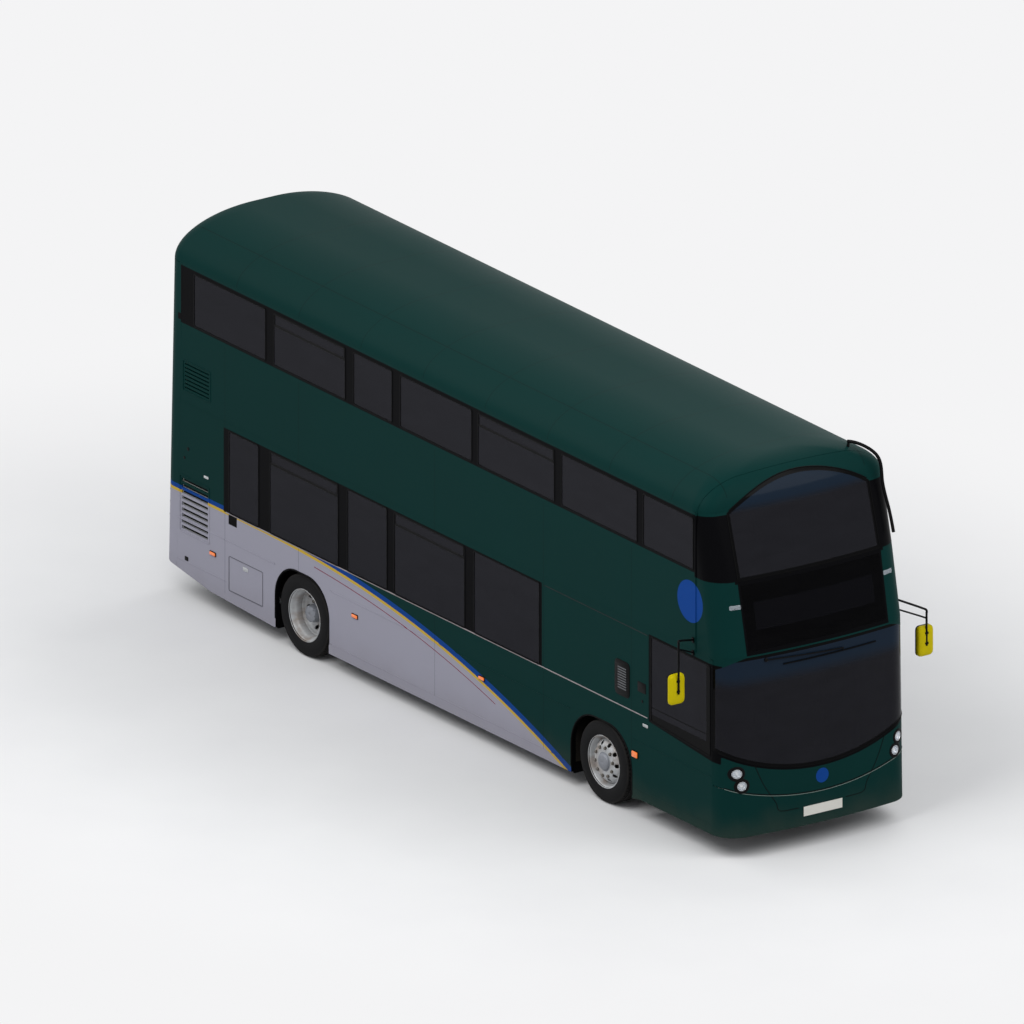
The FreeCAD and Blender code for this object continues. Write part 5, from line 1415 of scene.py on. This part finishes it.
# Side, distance across, level, feet of the two arms on the wall, and where the arms turn down.
MIRRORS = ((-1, 1.650, 2.02, ((4.725, 2.45), (4.725, 2.30)), (4.996, 2.60)),
           (1, 1.710, 1.89, ((4.975, 2.49), (5.020, 2.38)), (4.985, 2.265)))
MIRROR_ARM = 0.0125
MIRROR_BACK = ((0.93, 4.928), (1.0, 4.934), (1.0, 4.950), (0.985, 4.962), (0.93, 4.974), (0.80, 4.983),
               (0.55, 4.988), (0.2, 4.9895))
MIRROR_RIM = ((0.90, 4.912), (0.96, 4.906), (1.0, 4.910), (1.0, 4.934), (0.9, 4.936))


def mirror_units():
    """Long mirrors: rounded yellow backs, black rims with a pale glass, and bent arms with brackets."""
    backs, rims, glasses, arms = [], [], [], []
    for side, across, level, feet, (drop, high) in MIRRORS:
        y = side * across
        middle = np.array([y, level])
        outline = oblong(0.206, 0.356, 0.055, middle, 7)
        backs.append(stepped(outline, middle, MIRROR_BACK, "front"))
        rims.append(stepped(outline, middle, MIRROR_RIM, "front"))
        glasses.append(plank(middle + (outline - middle) * 0.90, 4.907, 4.911, 0.001, "front"))
        down = smooth([(drop, y, high - 0.03), (drop, y, level + 0.19), (drop, y, level - 0.05)], 6)
        arms.append(tube(down, MIRROR_ARM, 12, (1, 0.02, 0)))
        for number, (foot, foot_high) in enumerate(feet):
            start = np.array([foot, side * 1.262, foot_high])
            tip = np.array([drop, y, high - number * 0.1])
            route = smooth([start, start * 0.92 + tip * 0.08, start * 0.12 + tip * 0.88, tip - [0, 0, 0.012],
                            tip - [0, 0, 0.05]])
            arms.append(tube(route, MIRROR_ARM - number * 0.0025, 12, (1, 0.02, 0)))
            arms.append(block((foot - 0.022, side * 1.2605, foot_high - 0.03),
                              (foot + 0.022, side * 1.274, foot_high + 0.03), 0.003, 0.012))
        arms += [block((4.960, y - 0.022, level + up - 0.012), (5.000, y + 0.022, level + up + 0.012),
                       0.003, 0.008, "plan") for up in (0.10, -0.02)]
    for name, shapes, finish in (("backs", backs, "mirror_shell"), ("rims", rims, "trim"),
                                 ("glasses", glasses, "mirror_glass"), ("arms", arms, "trim")):
        piece(f"mirror_{name}", shapes, finish, replaces=["mirrors"])


def door_rubbers():
    """Soft edges of both leaves, rubber round their glass, a kick plate and a grab bar inside."""
    for word in ("front", "rear"):
        low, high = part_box(f"{word}_door_leaf")
        corners = box_outline(*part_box(f"{word}_door_glass"))
        middle = (low[0] + high[0]) / 2
        rings = [side_ring(corners, 0.03, 1, 0.009, 1.2455), side_ring(corners, 0.03, -1, 0.009, -1.2145)]
        rods = [tube([(x, 1.236, 0.40), (x, 1.236, 1.3), (x, 1.236, 2.215)], 0.0075, 10, (1, 0, 0))
                for x in (low[0] + 0.004, high[0] - 0.004)]
        plate = block((middle - 0.23, 1.2145, 0.40), (middle + 0.23, 1.2165, 0.47), 0.0006, 0.012)
        bar = smooth([(middle + x, y, z) for x, y, z in (
            (-0.2, 1.216, 1.02), (-0.2, 1.185, 1.03), (-0.17, 1.178, 1.05), (0.17, 1.178, 1.35),
            (0.2, 1.185, 1.37), (0.2, 1.216, 1.38))], 6)
        for name, shapes, finish in (("rubbers", rings + rods, "soft_rubber"),
                                     ("kick", [plate], "bright_metal"),
                                     ("bar", [tube(bar, 0.011, 12, (0, 0.1, 1))], "rail_paint")):
            piece(f"{word}_leaf_{name}", shapes, finish, f"{word}_leaf")


# ------------------------------------------------------------------ seats and saloon

def swollen(shape, cap=0.012):
    """A cushion blown up as cloth with its size held: no point moves further than the cap."""
    mesh = shape.mesh("cushion_cloth")
    held = bpy.data.objects.new("cushion_cloth", mesh)
    scene = bpy.context.scene
    scene.collection.objects.link(held)
    rest = vertices(mesh)
    cloth = held.modifiers.new("Cloth", "CLOTH")
    cloth.settings.quality = 6
    cloth.settings.mass = 0.3
    cloth.settings.tension_stiffness = 40
    cloth.settings.compression_stiffness = 40
    cloth.settings.use_pressure = True
    cloth.settings.uniform_pressure_force = 4
    cloth.settings.effector_weights.gravity = 0
    for step in range(1, 21):
        scene.frame_set(step)
    blown = held.evaluated_get(bpy.context.evaluated_depsgraph_get()).data
    shift = vertices(blown) - rest
    shift *= np.minimum(1, cap / np.maximum(np.linalg.norm(shift, axis=1, keepdims=True), 1e-9))
    faces = [np.array([face.vertices[:]]) for face in blown.polygons]
    bpy.data.objects.remove(held)
    scene.frame_set(1)
    return Shape().add(rest + shift, *faces)


BACK_LEAN = 0.272
BACK_UP = 0.962
SEAT_PLACES = (-0.215, 0.215)


def cushions(low_half, low_puff, back_half):
    """A seat cushion and a back cushion about their own middles, the back one turned to its seat's lean."""
    lean = np.array([[BACK_UP, 0, -BACK_LEAN], [0, 1, 0], [BACK_LEAN, 0, BACK_UP]])
    return swollen(pad(low_half, low_puff)), swollen(Shape().repeat(pad(back_half), [(0, 0, 0)], [lean]))


def seat_frames():
    """A double seat's shells and pans, leg and grip, about its rear edge, middle and floor."""
    shell = []
    for across in SEAT_PLACES:
        outline = rounded([(-0.052, 0.36), (-0.036, 0.36), (-0.110, 0.955), (-0.140, 0.955)], 0.012, 4)
        shell += [plank(outline, across - 0.207, across + 0.207, 0.008),
                  block((-0.04, across - 0.205, 0.335), (0.44, across + 0.205, 0.358), 0.006, 0.03, "plan")]
    leg = [block((0.16, 0.03, 0.0), (0.24, 0.09, 0.335), 0.004, 0.02, "plan"),
           block((0.10, 0.0, 0.0), (0.30, 0.12, 0.012), 0.003, 0.03, "plan")]
    grip = smooth([(-0.118, 0.30, 0.90), (-0.120, 0.335, 0.955), (-0.122, 0.375, 0.985),
                   (-0.122, 0.405, 0.965), (-0.112, 0.410, 0.90)], 5)
    return gathered(shell), gathered(leg), tube(grip, 0.013, 10, (1, 0, 0.1))


def double_seats(settings):
    """Every double seat of both decks: each stands where its CAD solid does."""
    wide = settings.wide / 2 - 0.006
    low, back = cushions((0.208, wide, 0.040), settings.crown, (0.030, wide, 0.258))
    shell, leg, grip = seat_frames()
    for deck in ("lower", "upper"):
        node = f"{deck}_deck_seats"
        boxes = islands(node)
        spots = np.stack([boxes[:, 0, 0] + 0.130, boxes.mean(1)[:, 1], boxes[:, 0, 2] - 0.001], 1)
        turns = np.tile(np.eye(3), (len(spots), 1, 1))
        turns[:, 1, 1] = np.where(spots[:, 1] < 0, 1.0, -1.0)
        places = np.concatenate([spots + [0, across, 0] for across in SEAT_PLACES])
        for name, shape, shift in (("cushions", low, [0.235, 0, 0.405]), ("backs", back, [-0.030, 0, 0.690])):
            cloth = piece(f"{deck}_{name}", [Shape().repeat(shape, places + shift)], "seat_cloth",
                          replaces=[node])
        for name, shape, finish, turned in (("shells", shell, "seat_shell", None),
                                            ("seat_legs", leg, "seat_shell", turns),
                                            ("seat_grips", grip, "rail_paint", turns)):
            piece(f"{deck}_{name}", [Shape().repeat(shape, spots, turned)], finish, replaces=[node])


def driver_place():
    """The driver's seat: two cushions, a shell, a pan and a pedestal."""
    rear, across, floor = 4.140, -0.79, 0.535
    low, back = cushions((0.225, 0.232, 0.050), 0.014, (0.042, 0.228, 0.335))
    pads = [Shape().repeat(low, [(rear + 0.26, across, floor + 0.465)]),
            Shape().repeat(back, [(rear - 0.005, across, floor + 0.83)])]
    piece("driver_cushions", pads, "seat_cloth", replaces=["driver_seat"])
    outline = rounded([(-0.072, 0.43), (-0.048, 0.43), (-0.158, 1.16), (-0.185, 1.16)], 0.012, 4)
    hard = [plank(outline + [rear + 0.015, floor], across - 0.228, across + 0.228, 0.010),
            block((rear, across - 0.225, floor + 0.385), (rear + 0.50, across + 0.225, floor + 0.415),
                  0.006, 0.04, "plan"),
            block((rear + 0.12, across - 0.13, floor + 0.002), (rear + 0.40, across + 0.13, floor + 0.385),
                  0.008, 0.05, "plan")]
    piece("driver_seat_frame", hard, "seat_shell", replaces=["driver_seat"])


# Distance across, half width, low and high level, and starts along the bus, for each deck's lamps.
CEILING_LAMPS = ((0.62, 0.06, 2.258, 2.279, (-4.0, -2.4, -0.8, 0.8, 2.4)),
                 (0.45, 0.05, 4.270, 4.288, (-4.6, -3.0, -1.4, 0.2, 1.8, 3.2)))


def saloon_fittings():
    """Ceiling lamps of both decks and ceiling rails of the lower one."""
    lamps = [block((start, side * across - half, low), (start + 1.15, side * across + half, high),
                   0.005, 0.03, "plan")
             for across, half, low, high, starts in CEILING_LAMPS for start in starts for side in BOTH]
    piece("ceiling_lamps", lamps, "lamp_cover")
    rails = [tube(smooth([(x, side * 0.30, z) for x, z in ((-4.1, 2.275), (-4.1, 2.14), (-4.06, 2.12),
                                                           (3.40, 2.12), (3.44, 2.14), (3.44, 2.275))], 5),
                  0.014, 10, (0, 1, 0)) for side in BOTH]
    piece("ceiling_rails", rails, "rail_paint")


def underside():
    """Propeller shaft, silencer with its tail pipe, fuel tank, batteries and mud flaps."""
    shaft = [tube([(-4.30, 0, 0.60), (-3.7, 0, 0.51), (-3.05, 0, 0.415)], 0.048, 24, (0, 1, 0))]
    shaft += [lathe([(-0.06, 0.03), (-0.05, 0.072), (0.05, 0.072), (0.06, 0.03)], (x, 0, z), "x", 24)
              for x, z in ((-4.24, 0.591), (-3.11, 0.424))]
    piece("propeller_shaft", shaft, "tank_metal", wall=0.002)
    drum = lathe([(-0.42, 0.0005), (-0.42, 0.10), (-0.40, 0.125), (0.40, 0.125), (0.42, 0.10),
                  (0.42, 0.0005)], (-4.85, 0.56, 0.42), "x", 40)
    pipe = smooth([(-5.25, 0.56, 0.42), (-5.36, 0.56, 0.41), (-5.42, 0.58, 0.36), (-5.44, 0.60, 0.30)])
    piece("silencer", [drum, tube(pipe, 0.04, 20, (0, 1, 0))], "exhaust_metal")
    tank = [block((-4.25, 0.62, 0.27), (-3.55, 1.12, 0.52), 0.02, 0.06, "plan")]
    tank += [block((x - 0.02, 0.612, 0.262), (x + 0.02, 1.128, 0.528), 0.003, 0.02, "plan")
             for x in (-4.08, -3.72)]
    piece("fuel_tank", tank, "tank_metal")
    piece("batteries", [block((x, -1.13, 0.38), (x + 0.25, -0.87, 0.56), 0.006, 0.015, "plan")
                        for x in (-4.18, -3.90)], "cab_plastic")
    flaps = [block((x - 0.004, side * low, 0.16), (x + 0.004, side * high, top), 0.002, 0.02, "front")
             for x, low, high, top in ((2.352, 0.97, 1.22, 0.30), (-3.372, 0.70, 1.22, 0.45))
             for side in BOTH]
    piece("mud_flaps", flaps, "soft_rubber")


# ------------------------------------------------------------------ stage

def placed(name, data, azimuth, elevation, spot):
    """Put a lamp or camera where spot, a function of its back and right directions, says."""
    turn, lift = math.radians(azimuth), math.radians(elevation)
    back = Vector((math.sin(turn) * math.cos(lift), -math.cos(turn) * math.cos(lift), math.sin(lift)))
    made = bpy.data.objects.new(name, data)
    bpy.context.scene.collection.objects.link(made)
    made.location = spot(back, Vector((math.cos(turn), math.sin(turn), 0)))
    made.rotation_euler = back.to_track_quat("Z", "Y").to_euler()
    return made


VIEW_ACROSS, VIEW_UP, VIEW_FAR, FAR_CLIP = -0.331, 2.147, 30, 200
FLOOR_REACH = 160
# Name, azimuth, elevation, distance, size and share of the key lamp's power.
LAMPS = (("key", 20, 48, 17, 11, 1.0), ("side", 105, 34, 17, 10, 0.6), ("fill", -60, 35, 18, 12, 0.5),
         ("back", 200, 45, 18, 12, 0.5))


def view_and_lamps(settings):
    """The camera of a parallel view, moved a little across and up, and the soft lamps round the bus."""
    camera = bpy.data.cameras.new("camera")
    camera.type = "ORTHO"
    camera.ortho_scale = settings.wide
    camera.clip_end = FAR_CLIP
    bpy.context.scene.camera = placed(
        "camera", camera, settings.azimuth, settings.elevation,
        lambda back, right: right * VIEW_ACROSS + back.cross(right) * VIEW_UP + back * VIEW_FAR)
    for name, azimuth, elevation, far, size, share in LAMPS:
        lamp = bpy.data.lights.new(name, "AREA")
        lamp.size = size
        lamp.energy = settings.key * share
        placed(name, lamp, azimuth, elevation, lambda back, right: Vector((0, 0, 2.0)) + back * far)


def surround():
    """An even pale world that lights the bus and is white to the camera."""
    world = bpy.data.worlds.new("surround")
    world.use_nodes = True
    bpy.context.scene.world = world
    nodes = Nodes(world.node_tree)
    dome = nodes.node("ShaderNodeBackground", inputs={"Color": (0.80, 0.82, 0.85, 1), "Strength": 0.55})
    white = nodes.node("ShaderNodeBackground", inputs={"Color": (1, 1, 1, 1)})
    nodes.show("World Output", nodes.seen(), dome, white)


def pale_floor():
    """A wide floor that keeps the shadow near the bus and turns to the surround's white further off."""
    paint = Paint("pale_floor", tint(226, 226, 226), roughness=0.8)
    paint.feed(base_color=paint.blend(paint.noise(0.6, 5.0), tint(220, 220, 221), tint(230, 230, 230)))
    x, y, _ = paint.place
    far = paint.soft((x * x * 0.55 + y * y).root(), 4.2, 9.5)
    bright = paint.node("ShaderNodeEmission", inputs={"Color": (*tint(244, 244, 245), 1), "Strength": 1.0})
    paint.show("Material Output", paint.seen() * far, Value(paint, paint.shader.outputs[0]), bright)
    side = np.linspace(-FLOOR_REACH, FLOOR_REACH, 13)
    across, along = np.meshgrid(side, side, indexing="ij")
    flat = Shape().grid(np.stack([across, along, np.full_like(across, -0.001)], -1), round_columns=False,
                        ends=False)
    floor = bpy.data.objects.new("floor", flat.mesh("floor"))
    floor.data.materials.append(paint.material)
    bpy.context.scene.collection.objects.link(floor)


# ------------------------------------------------------------------ the add-on

class BusOperator:
    """What the operators share: execute runs the steps, each with the groups of settings that it names."""

    bl_options = {"REGISTER", "UNDO"}

    def execute(self, context):
        for step, *groups in self.steps:
            step(*[getattr(context.scene, group) for group in groups])
        return {"FINISHED"}


class BUS_OT_finishes(BusOperator, bpy.types.Operator):
    """Make every finish and dress the frame's own nodes"""
    bl_idname = "bus.finishes"
    bl_label = "Finishes"
    steps = ((make_finishes, "bus_paint", "bus_trim", "bus_wheels", "bus_seats"), (dress_frame,))


class BUS_OT_windows(BusOperator, bpy.types.Operator):
    """Rubber round the panes and their opening top lights"""
    bl_idname = "bus.windows"
    bl_label = "Window rubbers and hoppers"
    steps = ((window_gaskets, "bus_trim"), (hoppers, "bus_trim"))


class BUS_OT_mouldings(BusOperator, bpy.types.Operator):
    """Rails, beads, gutters and wheel arch lips"""
    bl_idname = "bus.mouldings"
    bl_label = "Mouldings"
    steps = ((side_mouldings, "bus_trim"), (joint_covers,), (arch_lips,))


class BUS_OT_front(BusOperator, bpy.types.Operator):
    """Lines, display, plates, lamps and wiper of the front"""
    bl_idname = "bus.front"
    bl_label = "Front"
    steps = ((front_panelling,), (headlamp_units,), (small_lamps,), (blank_display,), (plate_trim,),
             (wiper,), (guard_stubs,))


class BUS_OT_rear(BusOperator, bpy.types.Operator):
    """Rear lamps and the engine door's fittings"""
    bl_idname = "bus.rear"
    bl_label = "Rear"
    steps = ((tail_lamp_units,), (engine_lid_fittings,))


class BUS_OT_sides(BusOperator, bpy.types.Operator):
    """Vents, caps, latches and grilles of the sides"""
    bl_idname = "bus.sides"
    bl_label = "Side fittings"
    steps = ((side_fittings,),)


class BUS_OT_wheels(BusOperator, bpy.types.Operator):
    """Tyres, discs, hubs, nuts and drums"""
    bl_idname = "bus.wheels"
    bl_label = "Wheels"
    steps = ((wheel_set, "bus_wheels"),)


class BUS_OT_mirrors(BusOperator, bpy.types.Operator):
    """Mirrors on their arms"""
    bl_idname = "bus.mirrors"
    bl_label = "Mirrors"
    steps = ((mirror_units,),)


class BUS_OT_doors(BusOperator, bpy.types.Operator):
    """Rubbers, kick plates and bars of the entrance doors"""
    bl_idname = "bus.doors"
    bl_label = "Door fittings"
    steps = ((door_rubbers,),)


class BUS_OT_seats(BusOperator, bpy.types.Operator):
    """Cloth seats of both decks and of the driver"""
    bl_idname = "bus.seats"
    bl_label = "Seats"
    steps = ((double_seats, "bus_seats"), (driver_place,))


class BUS_OT_saloon(BusOperator, bpy.types.Operator):
    """Ceiling lamps and rails"""
    bl_idname = "bus.saloon"
    bl_label = "Saloon fittings"
    steps = ((saloon_fittings,),)


class BUS_OT_underside(BusOperator, bpy.types.Operator):
    """Shaft, exhaust, tank, batteries and mud flaps"""
    bl_idname = "bus.underside"
    bl_label = "Underside"
    steps = ((underside,),)


class BUS_OT_stage(BusOperator, bpy.types.Operator):
    """Floor, lamps and camera"""
    bl_idname = "bus.stage"
    bl_label = "Stage"

    def execute(self, context):
        view_and_lamps(context.scene.bus_stage)
        surround()
        pale_floor()
        context.scene.view_settings.view_transform = "Standard"
        return {"FINISHED"}


class BUS_PT_panel(bpy.types.Panel):
    """The bus's settings and operators in the sidebar."""
    bl_idname = "BUS_PT_panel"
    bl_label = "Double-decker bus"
    bl_space_type = "VIEW_3D"
    bl_region_type = "UI"
    bl_category = "Bus"

    def draw(self, context):
        for operator in OPERATORS:
            self.layout.operator(operator.bl_idname)
        for word, group in SETTINGS.items():
            box = self.layout.box()
            box.label(text=group.__doc__)
            for name in group.__annotations__:
                box.prop(getattr(context.scene, word), name)


SETTINGS = {"bus_paint": BusPaintSettings, "bus_trim": BusTrimSettings, "bus_wheels": BusWheelSettings,
            "bus_seats": BusSeatSettings, "bus_stage": BusStageSettings}
OPERATORS = (BUS_OT_finishes, BUS_OT_windows, BUS_OT_mouldings, BUS_OT_front, BUS_OT_rear, BUS_OT_sides,
             BUS_OT_wheels, BUS_OT_mirrors, BUS_OT_doors, BUS_OT_seats, BUS_OT_saloon, BUS_OT_underside,
             BUS_OT_stage)
CLASSES = (*SETTINGS.values(), *OPERATORS, BUS_PT_panel)


def register():
    for item in CLASSES:
        bpy.utils.register_class(item)
    for word, group in SETTINGS.items():
        setattr(bpy.types.Scene, word, PointerProperty(type=group))


def unregister():
    for word in SETTINGS:
        delattr(bpy.types.Scene, word)
    for item in reversed(CLASSES):
        bpy.utils.unregister_class(item)


def main():
    """Run every operator in order."""
    register()
    for operator in OPERATORS:
        call = operator.bl_idname.split(".")
        getattr(getattr(bpy.ops, call[0]), call[1])()


if __name__ == "__main__":
    main()
